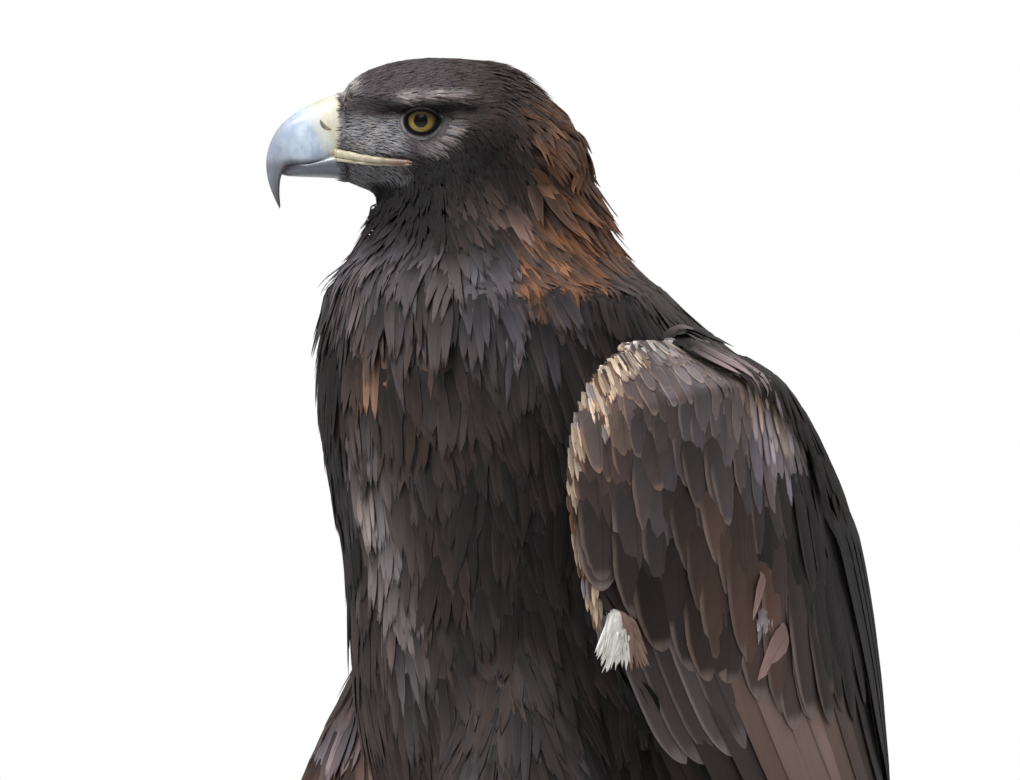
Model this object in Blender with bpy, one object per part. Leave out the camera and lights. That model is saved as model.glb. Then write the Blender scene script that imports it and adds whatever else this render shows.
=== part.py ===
"""A golden eagle standing on a floor, life size, as a still model.

The frame has +Z up and the floor at Z = 0. The bird faces -Y, its left side is at +X, and its head is turned
to its right. Lengths in the tables are millimetres, and MM turns them into metres. One loft makes the neck
and the torso, which a thin cut parts. Feathers are flat vanes whose roots are sunk in the solid they grow from.
"""

import functools
import math
import random

import bmesh
import bpy
import numpy as np
from mathutils import Matrix, Vector

MM = 0.001
GAP = 0.3 * MM  # what touching solids keep between them
UP = Vector((0, 0, 1))
SEED = 11

# The head's own axes meet midway between the eyes. Its tables read forward, up and, where there is a third
# number across, to the bird's left.
HEAD_TURN = math.radians(35)
HEAD_ORIGIN = Vector((-17.2, -49.0, 588.0)) * MM
FORWARD = Vector((-math.sin(HEAD_TURN), -math.cos(HEAD_TURN), 0))
LEFT = UP.cross(FORWARD)

# Forward, crown, jaw and half width of the head's sections.
HEAD_SECTIONS = (
    (36.0, 9.5, -26.0, 11.5),
    (31.0, 17.5, -28.5, 14.5),
    (23.0, 22.5, -31.5, 18.5),
    (12.0, 25.8, -34.5, 23.0),
    (0.0, 27.3, -38.0, 26.8),
    (-14.0, 27.2, -42.0, 29.6),
    (-28.0, 25.5, -46.0, 31.0),
    (-42.0, 20.5, -46.0, 30.5),
    (-54.0, 12.0, -42.0, 27.5),
    (-64.0, 2.0, -34.0, 20.0),
)
EYE_RADIUS = 10.5 * MM
EYE_CENTRE = (0.0, 0.0, 16.2)
EYE_FORWARD = math.radians(22)  # how far each eye looks ahead of straight out
LID_RADIUS = 8.1 * MM
LID_THICKNESS = 1.5 * MM
GAPE_CORNER = (5.5, -18.8)
GAPE_FRONT = (36.0, -15.6)
LIP_RADIUS = 1.5 * MM
MOUTH_LINE = 0.7 * MM

BILL_ROOT = 33.5  # the upright plane where the face ends and cere and lower bill begin
# The bill's sections: culmen forward and up, lower edge forward and up, half width.
BILL_SECTIONS = (
    (33.5, 10.8, 33.5, -15.0, 11.2),
    (40.0, 9.8, 38.5, -15.2, 10.9),
    (48.0, 6.6, 42.5, -17.0, 10.0),
    (56.2, 1.8, 46.5, -18.9, 8.8),
    (62.0, -3.6, 50.5, -19.6, 7.4),
    (65.8, -10.6, 54.5, -19.2, 6.1),
    (67.3, -18.0, 58.5, -20.4, 4.7),
    (66.6, -25.5, 61.0, -24.8, 3.4),
    (64.4, -32.2, 61.6, -31.0, 2.2),
    (61.6, -38.2, 61.2, -37.2, 0.8),
)
CERE_EDGE_TOP = (48.6, 6.8)  # the slanting line where the cere ends and the horn begins
CERE_EDGE_FOOT = (37.4, -16.5)
NOSTRIL = (42.2, -3.4, 10.4)
# The lower bill's sections: forward, upper edge, lower edge, half width.
LOWER_BILL_SECTIONS = (
    (33.5, -16.4, -26.2, 9.5),
    (38.0, -16.0, -25.2, 9.0),
    (44.0, -18.9, -24.8, 7.6),
    (50.0, -20.9, -24.6, 6.0),
    (54.5, -20.6, -24.4, 4.4),
    (58.0, -21.9, -24.3, 2.2),
)

# One loft for neck and torso: centre x, y, z, half depth, half width, tilt and turn of each section, degrees.
NECK_SECTIONS = (
    (-9.7, -38.4, 577.0, 44.6, 30.5, -34.0, 35.0),
    (-7.5, -35.5, 568.0, 45.6, 34.0, -27.5, 32.5),
    (-5.7, -32.6, 559.0, 47.5, 37.5, -21.0, 30.0),
    (-4.0, -30.6, 548.0, 51.5, 42.5, -12.5, 24.0),
    (-2.0, -29.0, 534.5, 57.0, 50.5, -6.0, 16.0),
    (0.0, -26.5, 521.0, 67.5, 63.0, -2.5, 8.0),
    (0.0, -21.5, 510.0, 74.7, 78.0, 0.0, 0.0),
)
# Height, breast, back and half width of the torso's level sections.
TORSO_LEVELS = (
    (510.0, -96.2, 53.2, 78.0),
    (490.0, -102.0, 84.0, 85.0),
    (475.0, -103.5, 103.0, 89.0),
    (455.0, -102.0, 117.0, 91.0),
    (430.0, -98.5, 128.0, 91.0),
    (400.0, -92.5, 136.0, 89.0),
    (370.0, -91.0, 140.0, 85.0),
    (340.0, -89.5, 139.0, 80.0),
    (310.0, -82.0, 132.0, 72.0),
    (280.0, -62.0, 122.0, 60.0),
    (255.0, -34.0, 114.0, 45.0),
    (236.0, 2.0, 106.0, 29.0),
    (224.0, 32.0, 94.0, 12.0),
)

# The folded wing is a leaf between two edges, which meet at its top and at its tip: x, y, z.
WING_FRONT_EDGE = (
    (88, -2, 492), (95, -28, 489), (101, -47, 476), (105, -58, 458), (107, -61, 435),
    (109, -58, 408), (110, -50, 380), (110, -38, 350), (108, -18, 318), (104, 10, 283),
    (98, 48, 240), (88, 98, 190), (73, 165, 138), (56, 243, 99), (36, 310, 64),
)
WING_REAR_EDGE = (
    (88, -2, 492), (79, 24, 493), (68, 52, 484), (57, 80, 471), (47, 104, 455),
    (39, 124, 434), (32, 140, 409), (26, 152, 380), (22, 160, 348), (19, 165, 312),
    (17, 172, 270), (17, 188, 222), (20, 218, 168), (28, 262, 117), (36, 310, 64),
)
WING_DRAWN = (-13, 24, 0)  # how far the right wing's front edge lies in and back
WING_BULGE = 30 * MM
WING_CORE_END = 0.56
WING_CORE_DEPTH = (24 * MM, 11 * MM)  # at the shoulder and at the core's lower rim

# The tail's middle line: y and z, from the rump to the end that lies on the floor.
TAIL_LINE = ((98, 252), (136, 196), (186, 138), (242, 82), (294, 38), (336, 9))
TAIL_HALF_WIDTH = (17 * MM, 52 * MM)
TAIL_SAG = 5 * MM  # how far the outer feathers lie below the middle pair
RECTRIX_PAIRS = 6

# Centre x, y, z, half width and half depth of the left thigh's sections.
THIGH_SECTIONS = (
    (46, -34, 347, 12, 11), (49, -38, 334, 28, 26), (50, -40, 322, 34, 34), (52, -43, 305, 40, 41.5),
    (54, -46, 285, 43, 45), (56, -45, 262, 44, 46), (58, -37, 238, 42, 43), (60, -22, 212, 37, 37),
    (61, -3, 188, 34, 36), (62, 14, 165, 30, 32), (62, 28, 144, 25, 27), (62, 37, 126, 21, 23),
)
TARSUS_SECTIONS = (
    (62, 38, 125.8, 20.4, 22.4), (62, 35, 104, 18, 19.5), (62, 28, 78, 16, 17.5), (62, 20, 52, 15.2, 16.4),
    (62, 14.5, 28, 15.4, 16.4),
)
ANKLE_CUT = 126.0
FOOT_CENTRE = (62, 11, 14)
PALM_SIZE = (17, 18, 15)
# Name, heading from straight ahead, length to the claw, toe radius, claw length and claw radius.
TOES = (
    ("inner", -38.0, 50.0, 8.6, 37.0, 5.0),
    ("middle", -4.0, 64.0, 8.4, 31.0, 4.4),
    ("outer", 32.0, 52.0, 7.8, 26.0, 4.0),
    ("hind", 172.0, 38.0, 9.2, 44.0, 5.6),
)

# Share of a toe's length, share of its radius, and rise of its middle in millimetres.
TOE_PROFILE = ((0.0, 1.0, 4.0), (0.42, 1.1, 1.6), (0.6, 0.9, 0.8), (0.8, 1.06, 0.6), (1.0, 0.62, 1.0))

COLOURS = {
    "plumage": ((0.045, 0.036, 0.033), 0.75),
    "hackle": ((0.20, 0.105, 0.055), 0.7),
    "wing": ((0.07, 0.055, 0.05), 0.65),
    "tail": ((0.05, 0.042, 0.04), 0.65),
    "horn": ((0.30, 0.35, 0.42), 0.35),
    "cere": ((0.62, 0.55, 0.36), 0.45),
    "eye": ((0.12, 0.08, 0.02), 0.1),
    "toe": ((0.62, 0.48, 0.10), 0.5),
    "claw": ((0.02, 0.02, 0.022), 0.3),
    "tarsus": ((0.16, 0.12, 0.09), 0.8),
}


def clear_scene():
    for obj in list(bpy.data.objects):
        bpy.data.objects.remove(obj)
    home = bpy.data.collections.new("golden_eagle")
    bpy.context.scene.collection.children.link(home)


def material(name):
    colour, roughness = COLOURS[name]
    made = bpy.data.materials.get(name) or bpy.data.materials.new(name)
    made.use_nodes = True
    shader = made.node_tree.nodes["Principled BSDF"]
    shader.inputs["Base Color"].default_value = (*colour, 1)
    shader.inputs["Roughness"].default_value = roughness
    shader.inputs["Metallic"].default_value = 0.0
    return made


def spline(rows, t):
    """The row at t, from 0 to 1, on a smooth curve through evenly spaced rows, and straight on beyond them."""
    rows = np.asarray(rows, float)
    place = t * (len(rows) - 1)
    if t <= 0:
        return rows[0] + (rows[1] - rows[0]) * place
    if t >= 1:
        return rows[-1] + (rows[-1] - rows[-2]) * (place - len(rows) + 1)
    k = min(int(place), len(rows) - 2)
    x = place - k
    before = rows[k - 1] if k > 0 else 2 * rows[0] - rows[1]
    after = rows[k + 2] if k + 2 < len(rows) else 2 * rows[-1] - rows[-2]
    a, b = rows[k], rows[k + 1]
    return a + 0.5 * x * (b - before + x * (2 * before - 5 * a + 4 * b - after + x * (3 * (a - b) + after - before)))


def spread(count, low=0.0, high=1.0):
    """Evenly spaced shares from low to high."""
    return [low + (high - low) * k / (count - 1) for k in range(count)]


def mesh_object(name, points, faces, colour):
    mesh = bpy.data.meshes.new(name)
    mesh.from_pydata([tuple(p) for p in points], [], faces)
    mesh.materials.append(material(colour))
    obj = bpy.data.objects.new(name, mesh)
    bpy.data.collections["golden_eagle"].objects.link(obj)
    return obj


def loft(name, rings, colour):
    """A closed solid through rings of the same count, capped flat at both ends, with its faces turned out."""
    count = len(rings[0])
    points = [p for ring in rings for p in ring]
    faces = [tuple(range(count))]
    for r in range(len(rings) - 1):
        for k in range(count):
            n = (k + 1) % count
            faces.append((r * count + k, (r + 1) * count + k, (r + 1) * count + n, r * count + n))
    faces.append(tuple(reversed(range((len(rings) - 1) * count, len(rings) * count))))
    obj = mesh_object(name, points, faces, colour)
    face_out(obj)
    return obj


def face_out(obj):
    work = bmesh.new()
    work.from_mesh(obj.data)
    bmesh.ops.recalc_face_normals(work, faces=work.faces)
    work.to_mesh(obj.data)
    work.free()


def oval(centre, side, fore, half_side, half_fore, count, power=2.0):
    """A ring of points round centre, a superellipse with its axes along side and fore."""
    ring = []
    for k in range(count):
        angle = 2 * math.pi * k / count
        c, s = math.cos(angle), math.sin(angle)
        x = math.copysign(abs(c) ** (2 / power), c) * half_side
        y = math.copysign(abs(s) ** (2 / power), s) * half_fore
        ring.append(Vector(centre) + Vector(side) * x + Vector(fore) * y)
    return ring


def evaluated_mesh(obj):
    graph = bpy.context.evaluated_depsgraph_get()
    return bpy.data.meshes.new_from_object(obj.evaluated_get(graph))


def keep_largest(obj):
    """Leaves only the largest closed surface, which drops scraps and fills sealed hollows."""
    work = bmesh.new()
    work.from_mesh(obj.data)
    bodies, seen = [], set()
    for start in work.faces:
        if start in seen:
            continue
        body, open_faces = [], [start]
        seen.add(start)
        while open_faces:
            face = open_faces.pop()
            body.append(face)
            for edge in face.edges:
                for other in edge.link_faces:
                    if other not in seen:
                        seen.add(other)
                        open_faces.append(other)
        bodies.append(body)
    bodies.sort(key=lambda body: sum(face.calc_area() for face in body))
    for body in bodies[:-1]:
        bmesh.ops.delete(work, geom=body, context="FACES")
    work.to_mesh(obj.data)
    work.free()


def boolean(obj, operation, others, solver="MANIFOLD"):
    """Applies one Boolean on a collection of closed solids, then removes them."""
    group = bpy.data.collections.new(obj.name + "_operands")
    bpy.context.scene.collection.children.link(group)
    for other in others:
        for home in list(other.users_collection):
            home.objects.unlink(other)
        group.objects.link(other)
    step = obj.modifiers.new(operation, "BOOLEAN")
    step.operation = operation
    step.operand_type = "COLLECTION"
    step.collection = group
    step.solver = solver
    made = evaluated_mesh(obj)
    obj.modifiers.clear()
    old, obj.data = obj.data, made
    bpy.data.meshes.remove(old)
    for other in others:
        bpy.data.objects.remove(other)
    bpy.data.collections.remove(group)
    keep_largest(obj)
    return obj


def slab_cut(obj, point, normal):
    """Cuts obj flat and keeps the side that normal points away from."""
    work = bmesh.new()
    work.from_mesh(obj.data)
    every = list(work.verts) + list(work.edges) + list(work.faces)
    found = bmesh.ops.bisect_plane(work, geom=every, plane_co=point, plane_no=normal, clear_outer=True)
    rim = [e for e in found["geom_cut"] if isinstance(e, bmesh.types.BMEdge)]
    bmesh.ops.holes_fill(work, edges=rim)
    bmesh.ops.recalc_face_normals(work, faces=work.faces)
    work.to_mesh(obj.data)
    work.free()


def mirrored(obj, name):
    """A copy of obj on the other side of the body's middle plane."""
    mesh = obj.data.copy()
    mesh.transform(Matrix.Diagonal((-1, 1, 1, 1)))
    mesh.flip_normals()
    other = bpy.data.objects.new(name, mesh)
    bpy.data.collections["golden_eagle"].objects.link(other)
    return other


def head_point(forward, up, left=0.0):
    return HEAD_ORIGIN + (FORWARD * forward + UP * up + LEFT * left) * MM


def body_ring(row, count, grown=0.0):
    """A section of neck or torso: x, y, z, half depth, half width, tilt and turn."""
    x, y, z, depth, width, tilt, turn = row
    turn, tilt = math.radians(turn), math.radians(tilt)
    ahead = Vector((-math.sin(turn), -math.cos(turn), 0))
    side = UP.cross(ahead)
    fore = ahead * math.cos(tilt) + UP * math.sin(tilt)
    centre = Vector((x, y, z)) * MM
    return oval(centre, side, -fore, width * MM + grown, depth * MM + grown, count)


def torso_row(row):
    height, breast, back, width = row
    return (0.0, (breast + back) / 2, height, (back - breast) / 2, width, 0.0, 0.0)


def neck_point(level, angle):
    """A point on the neck's surface: level 0 at the head and 1 at the collar, angle 0 at the nape."""
    row = spline(NECK_SECTIONS, level)
    turn, tilt = math.radians(row[6]), math.radians(row[5])
    ahead = Vector((-math.sin(turn), -math.cos(turn), 0))
    side = UP.cross(ahead)
    fore = ahead * math.cos(tilt) + UP * math.sin(tilt)
    return (Vector(row[:3]) + side * (math.sin(angle) * row[4]) - fore * (math.cos(angle) * row[3])) * MM


def wing_point(along, across, drawn=0.0):
    """A point on the left wing's outer surface: along from its top to its tip, across from front to rear.

    drawn moves the front edge back and in, for a wing held closer to the body."""
    front, rear = Vector(spline(WING_FRONT_EDGE, along)), Vector(spline(WING_REAR_EDGE, along))
    front += Vector(WING_DRAWN) * (drawn * math.sin(math.pi * min(along / 0.62, 1.0)))
    chord = rear - front
    out = Vector((chord.y, -chord.x, 0.35 * chord.length)).normalized()
    full = min(1.0, (chord.length / 150.0) ** 2)
    return (front + chord * across) * MM + out * (WING_BULGE * full * 4 * across * (1 - across))


def tail_point(along, across):
    """A point on the tail's upper surface: along from rump to end, across from the right edge to the left."""
    y, z = spline(TAIL_LINE, along)
    ahead = Vector(spline(TAIL_LINE, min(along + 0.02, 1.0))) - Vector(spline(TAIL_LINE, max(along - 0.02, 0.0)))
    ahead.normalize()
    half = TAIL_HALF_WIDTH[0] + (TAIL_HALF_WIDTH[1] - TAIL_HALF_WIDTH[0]) * along
    share = 2 * across - 1
    sag = TAIL_SAG * share * share
    return Vector((half * share, y * MM + ahead.y * sag, z * MM - abs(ahead.x) * sag))


def frame_on(surface, along, across, step=0.004):
    """Point, unit vectors along and across, outward normal, and metres for a unit of along and of across."""
    here = surface(along, across)
    down = (surface(along + step, across) - surface(along - step, across)) / (2 * step)
    over = (surface(along, across + step) - surface(along, across - step)) / (2 * step)
    normal = down.cross(over).normalized()
    return here, down.normalized(), over.normalized(), normal, down.length, over.length


ROUND_TIP = ((0.0, 0.45), (0.1, 0.7), (0.5, 1.0), (0.86, 0.84), (1.0, 0.25))
POINTED_TIP = ((0.0, 0.6), (0.45, 1.0), (1.0, 0.1))
SHORT_TIP = ((0.0, 0.55), (0.55, 1.0), (1.0, 0.35))


def vane(surface, start, length, width, tip, heights, tilt, heading=0.0, thickness=0.75 * MM, name="vane"):
    """A thin feather that follows a surface. heights are its root's, body's and tip's above the surface.

    It is tilted about its quill, so that neighbours lie over one another like slats. Both faces are split
    into the same triangles."""
    along, across = start
    points, last = [], 0.0
    here, down, over, normal, per_along, per_across = frame_on(surface, along, across)
    for share, wide in tip:
        for _ in range(3):
            step = (share - last) * length / 3
            along += step * math.cos(heading) / per_along
            across += step * math.sin(heading) / per_across
            here, down, over, normal, per_along, per_across = frame_on(surface, along, across)
        last = share
        lie = (down * math.cos(heading) + over * math.sin(heading)).normalized()
        side = normal.cross(lie).normalized()
        side = (side * math.cos(tilt) + normal * math.sin(tilt)).normalized()
        face = lie.cross(side)
        rise = min(share / tip[1][0], 1.0)
        height = heights[0] * (1 - rise) + heights[1] * rise + (heights[2] - heights[1]) * share * rise
        middle = here + normal * height
        half, thick = width * wide / 2, thickness * (1 - 0.35 * share) / 2
        for x, z in ((-1, 1), (1, 1), (1, -1), (-1, -1)):
            points.append(middle + side * (half * x) + face * (thick * z))
    faces = [(0, 1, 2), (0, 2, 3)]
    for r in range(len(tip) - 1):
        a, b = 4 * r, 4 * r + 4
        faces += [(a, b, b + 1), (a, b + 1, a + 1)]
        faces += [(a + 1, b + 1, b + 2), (a + 1, b + 2, a + 2)]
        faces += [(a + 3, a + 2, b + 2), (a + 3, b + 2, b + 3)]
        faces += [(a + 3, b + 3, b), (a + 3, b, a)]
    e = 4 * len(tip) - 4
    faces += [(e, e + 3, e + 2), (e, e + 2, e + 1)]
    obj = mesh_object(name, points, faces, "plumage")
    face_out(obj)
    return obj


def head_ring(row, count=26):
    """A section of the head, drawn in under the brow and round the eye, and full at brow and cheek."""
    ahead, crown, jaw, width = row
    middle, half = (crown + jaw) / 2, (crown - jaw) / 2
    near_eye = math.exp(-(((ahead - 6.0) / 15.0) ** 2))
    ring = []
    for k in range(count):
        angle = 2 * math.pi * k / count
        c, s = math.cos(angle), math.sin(angle)
        up = middle + half * s
        across = abs(c) ** 0.92 * width
        brow = 2.6 * near_eye * math.exp(-(((up - 11.0) / 4.0) ** 2))
        hollow = 3.4 * near_eye * math.exp(-(((up + 1.0) / 7.0) ** 2))
        across += (brow - hollow) * min(1.0, abs(c) * 1.6)
        ring.append(head_point(ahead, up, math.copysign(across, c)))
    return ring


def eye_axis(side):
    return (LEFT * side * math.cos(EYE_FORWARD) + FORWARD * math.sin(EYE_FORWARD) - UP * 0.06).normalized()


def ball(name, centre, radius, colour, segments=16, rings=10):
    work = bmesh.new()
    bmesh.ops.create_uvsphere(work, u_segments=segments, v_segments=rings, radius=radius)
    mesh = bpy.data.meshes.new(name)
    work.to_mesh(mesh)
    work.free()
    mesh.materials.append(material(colour))
    mesh.shade_smooth()
    obj = bpy.data.objects.new(name, mesh)
    obj.matrix_world = Matrix.Translation(centre)
    bpy.data.collections["golden_eagle"].objects.link(obj)
    return obj


def ellipsoid(name, centre, axes, colour, segments=14, rings=8):
    """A ball stretched to three half lengths, which come with their directions."""
    obj = ball(name, Vector((0, 0, 0)), 1.0, colour, segments, rings)
    turn = Matrix([axis.normalized() * size for axis, size in axes]).transposed().to_4x4()
    obj.data.transform(Matrix.Translation(centre) @ turn)
    obj.matrix_world = Matrix.Identity(4)
    face_out(obj)
    return obj


def lid(side):
    """The rim of skin round one eye."""
    axis = eye_axis(side)
    up = (UP - axis * UP.dot(axis)).normalized()
    across = axis.cross(up)
    centre = head_point(EYE_CENTRE[0], EYE_CENTRE[1], EYE_CENTRE[2] * side) + axis * EYE_RADIUS * 0.72
    rings = []
    for k in range(14):
        angle = 2 * math.pi * k / 14
        out = across * math.cos(angle) + up * (math.sin(angle) * 0.84)
        middle = centre + out * LID_RADIUS
        rings.append(oval(middle, out.normalized(), axis, LID_THICKNESS, LID_THICKNESS * 1.3, 6))
    count = len(rings[0])
    points = [p for ring in rings for p in ring]
    faces = []
    for r in range(len(rings)):
        a, b = r * count, (r + 1) % len(rings) * count
        for k in range(count):
            n = (k + 1) % count
            faces.append((a + k, b + k, b + n, a + n))
    obj = mesh_object("lid", points, faces, "plumage")
    face_out(obj)
    return obj


def lips(side):
    """The two soft folds that run back from the bill to the corner of the mouth."""
    made = []
    for rise in (1.5, -1.5):
        rings = []
        for share in spread(6):
            ahead = GAPE_FRONT[0] + 1.0 + (GAPE_CORNER[0] - 1.0 - GAPE_FRONT[0] - 1.0) * share
            up = GAPE_FRONT[1] + (GAPE_CORNER[1] - GAPE_FRONT[1]) * share + rise * (1 - 0.75 * share)
            out = (10.4 + 9.6 * share) * side
            size = LIP_RADIUS * (1.0 - 0.45 * share)
            rings.append(oval(head_point(ahead, up, out), LEFT, UP, size * 1.5, size, 6))
        made.append(loft("lip", rings, "cere"))
    return made


def mouth_cutter(side):
    """A thin blade that draws the line of the mouth between the lips."""
    rings = []
    for share in (-0.06, 0.5, 1.0):
        ahead = GAPE_FRONT[0] + (GAPE_CORNER[0] - GAPE_FRONT[0]) * share
        up = GAPE_FRONT[1] + (GAPE_CORNER[1] - GAPE_FRONT[1]) * share
        out = 13.0 + 9.0 * share
        rings.append(oval(head_point(ahead, up, out * side), LEFT, UP, 4.5 * MM, MOUTH_LINE / 2, 4))
    return loft("mouth_cutter", rings, "cere")


def make_eyes():
    for side, name in ((1, "eye_left"), (-1, "eye_right")):
        ball(name, head_point(EYE_CENTRE[0], EYE_CENTRE[1], EYE_CENTRE[2] * side), EYE_RADIUS, "eye")


def neck_plane():
    """The flat cut between head and neck: a point on it and the way to the neck."""
    row = NECK_SECTIONS[0]
    tilt, turn = math.radians(row[5]), math.radians(row[6])
    ahead = Vector((-math.sin(turn), -math.cos(turn), 0))
    fore = ahead * math.cos(tilt) + UP * math.sin(tilt)
    return Vector(row[:3]) * MM, UP.cross(ahead).cross(fore).normalized()


def make_head():
    rings = [head_ring(spline(HEAD_SECTIONS, t)) for t in spread(15)]
    head = loft("head", rings, "plumage")
    boolean(head, "UNION", [lid(1), lid(-1)] + lips(1) + lips(-1), "EXACT")
    point, normal = neck_plane()
    if normal.dot(FORWARD) > 0:
        normal = -normal
    slab_cut(head, point - normal * GAP, normal)
    slab_cut(head, head_point(BILL_ROOT, 0) - FORWARD * GAP, FORWARD)
    sockets = [
        ball("socket", head_point(EYE_CENTRE[0], EYE_CENTRE[1], EYE_CENTRE[2] * side), EYE_RADIUS + GAP, "eye", 20, 12)
        for side in (1, -1)
    ]
    boolean(head, "DIFFERENCE", sockets + [mouth_cutter(1), mouth_cutter(-1)], "EXACT")
    head.data.shade_smooth()
    return head


def bill_ring(row, count=14):
    """A section across the upper bill: round above, and flat with sharp edges below."""
    top_f, top_u, foot_f, foot_u, width = row
    top, foot = head_point(top_f, top_u), head_point(foot_f, foot_u)
    up = (top - foot) / 2
    centre = (top + foot) / 2
    ring = []
    for k in range(count):
        angle = 2 * math.pi * k / count
        c, s = math.cos(angle), math.sin(angle)
        high = math.copysign(abs(s) ** (1.0 if s > 0 else 0.55), s)
        wide = abs(c) ** (0.8 if s > 0 else 0.45)
        ring.append(centre + up * high + LEFT * (math.copysign(wide, c) * width * MM))
    return ring


def make_bill():
    """The hooked upper bill and the cere behind it, parted by a slanting cut, and the lower bill."""
    rings = [bill_ring(spline(BILL_SECTIONS, t)) for t in spread(19)]
    horn = loft("bill_upper", rings, "horn")
    edge = head_point(*CERE_EDGE_TOP) - head_point(*CERE_EDGE_FOOT)
    back = edge.cross(LEFT).normalized()
    if back.dot(FORWARD) > 0:
        back = -back
    cere = horn.copy()
    cere.data = horn.data.copy()
    cere.name = "cere"
    cere.data.materials.clear()
    cere.data.materials.append(material("cere"))
    bpy.data.collections["golden_eagle"].objects.link(cere)
    slab_cut(horn, head_point(*CERE_EDGE_TOP) - back * GAP / 2, back)
    slab_cut(cere, head_point(*CERE_EDGE_TOP) + back * GAP / 2, -back)
    nostrils = [
        ellipsoid(
            "nostril", head_point(NOSTRIL[0], NOSTRIL[1], NOSTRIL[2] * side),
            ((FORWARD * 0.8 + UP * 0.55, 3.0 * MM), (UP * 0.8 - FORWARD * 0.55, 1.1 * MM), (LEFT, 3.2 * MM)), "cere",
        )
        for side in (1, -1)
    ]
    boolean(cere, "DIFFERENCE", nostrils, "EXACT")
    rings = []
    for t in spread(9):
        ahead, top, foot, width = spline(LOWER_BILL_SECTIONS, t)
        centre = head_point(ahead, (top + foot) / 2)
        rings.append(oval(centre, LEFT, UP, width * MM, (top - foot) / 2 * MM, 12, 2.4))
    lower = loft("bill_lower", rings, "horn")
    for obj in (horn, cere, lower):
        obj.data.shade_smooth()
    return horn, cere, lower


def make_neck():
    """The neck, with the lance-shaped golden hackles of nape and sides fused on."""
    rings = [body_ring(spline(NECK_SECTIONS, t), 24) for t in spread(9)]
    neck = loft("neck", rings, "hackle")
    low = NECK_SECTIONS[-1][2] * MM + GAP / 2
    slab_cut(neck, Vector((0, 0, low)), -UP)
    draw = random.Random(SEED)
    hackles = []
    for row, level in enumerate((0.08, 0.24, 0.40, 0.55, 0.68)):
        count = 7 if row % 2 else 6
        for angle in spread(count, -1.7, 1.7):
            length = (36 + 10 * draw.random()) * MM
            start = (level + 0.02 * draw.random(), angle + 0.08 * (draw.random() - 0.5))
            heights = (-3.4 * MM, 1.8 * MM, (3.4 + 1.8 * draw.random()) * MM)
            hackles.append(
                vane(neck_point, start, length, 12 * MM, POINTED_TIP, heights, 0.0, 0.06 * math.sin(angle), 1.1 * MM)
            )
    boolean(neck, "UNION", hackles)
    slab_cut(neck, Vector((0, 0, low)), -UP)
    keep_largest(neck)
    return neck


def make_torso(name="torso", grown=0.0):
    rows = [torso_row(spline(TORSO_LEVELS, t)) for t in spread(18)]
    rings = [body_ring(row, 24, grown) for row in rows]
    if grown:
        rings.insert(0, [p + UP * grown for p in rings[0]])
        rings.append([p - UP * grown for p in rings[-1]])
    else:
        rings[0] = [p - UP * GAP / 2 for p in rings[0]]
    torso = loft(name, rings, "plumage")
    torso.data.shade_smooth()
    return torso


def wing_core(surface):
    """The flesh and small coverts of the folded wing, a thick leaf with a rounded front edge."""
    rings = []
    across = spread(7, 0.0, 1.0)
    for along in spread(10, 0.012, WING_CORE_END):
        share = along / WING_CORE_END
        depth = WING_CORE_DEPTH[0] + (WING_CORE_DEPTH[1] - WING_CORE_DEPTH[0]) * share**1.5
        chord = (surface(along, 1.0) - surface(along, 0.0)).length
        depth = min(depth, chord * 0.5)
        outer, inner = [], []
        for q in across:
            here, _, _, normal, _, _ = frame_on(surface, along, min(max(q, 0.004), 0.996))
            edge = math.sqrt(max(0.0, 1 - (1 - min(q, 1 - q) / 0.12) ** 2)) if min(q, 1 - q) < 0.12 else 1.0
            outer.append(here - normal * (depth * 0.5 - depth * 0.5 * edge) - normal * 1.0 * MM)
            inner.append(here - normal * (depth * 0.5 + depth * 0.5 * edge + 1.0 * MM))
        rings.append(outer + inner[-2:0:-1])
    return loft("wing_core", rings, "wing")


# Each tier of the wing: first along share, slope of that share to the rear, count, across from and to, length,
# width, tip outline, heights above the surface at root, body and tip, slat tilt in degrees, and how far each
# vane lies below the one behind it.
WING_TIERS = (
    ("primary", 0.49, -0.05, 5, 0.04, 0.20, 378, 27, "round", (-2.0, -1.4, 0.4), 1.0, 1.35),
    ("secondary", 0.45, -0.04, 7, 0.17, 0.88, 242, 35, "round", (-4.4, 0.4, 0.6), 5.5, 0.0),
    ("tertial", 0.34, 0.0, 3, 0.84, 0.95, 150, 28, "round", (-4.2, 3.8, 4.2), 5.5, 0.6),
    ("greater", 0.355, -0.01, 7, 0.10, 0.89, 94, 38, "short", (-4.6, 3.8, 4.2), 5.5, 0.0),
    ("median", 0.235, 0.0, 7, 0.09, 0.87, 68, 34, "short", (-4.4, 3.4, 4.4), 5.5, 0.0),
    ("lesser", 0.12, 0.0, 6, 0.10, 0.85, 54, 30, "short", (-4.2, 3.0, 4.2), 5.5, 0.0),
    ("alula", 0.29, 0.0, 2, 0.07, 0.13, 80, 17, "round", (-7.5, 1.6, 1.8), 4.0, 1.2),
)
TIPS = {"round": ROUND_TIP, "short": SHORT_TIP}


def wing_feathers(surface, seed):
    draw = random.Random(seed)
    made = []
    for name, first, slope, count, low, high, length, width, tip, heights, tilt, step in WING_TIERS:
        for k, q in enumerate(spread(count, low, high)):
            start = (first + slope * q + 0.006 * draw.random(), q)
            long = length * MM * (0.96 + 0.08 * draw.random())
            lift = [(h - step * (count - 1 - k)) * MM for h in heights]
            made.append(vane(surface, start, long, width * MM, TIPS[tip], lift, -math.radians(tilt), name=name))
    return made


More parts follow.
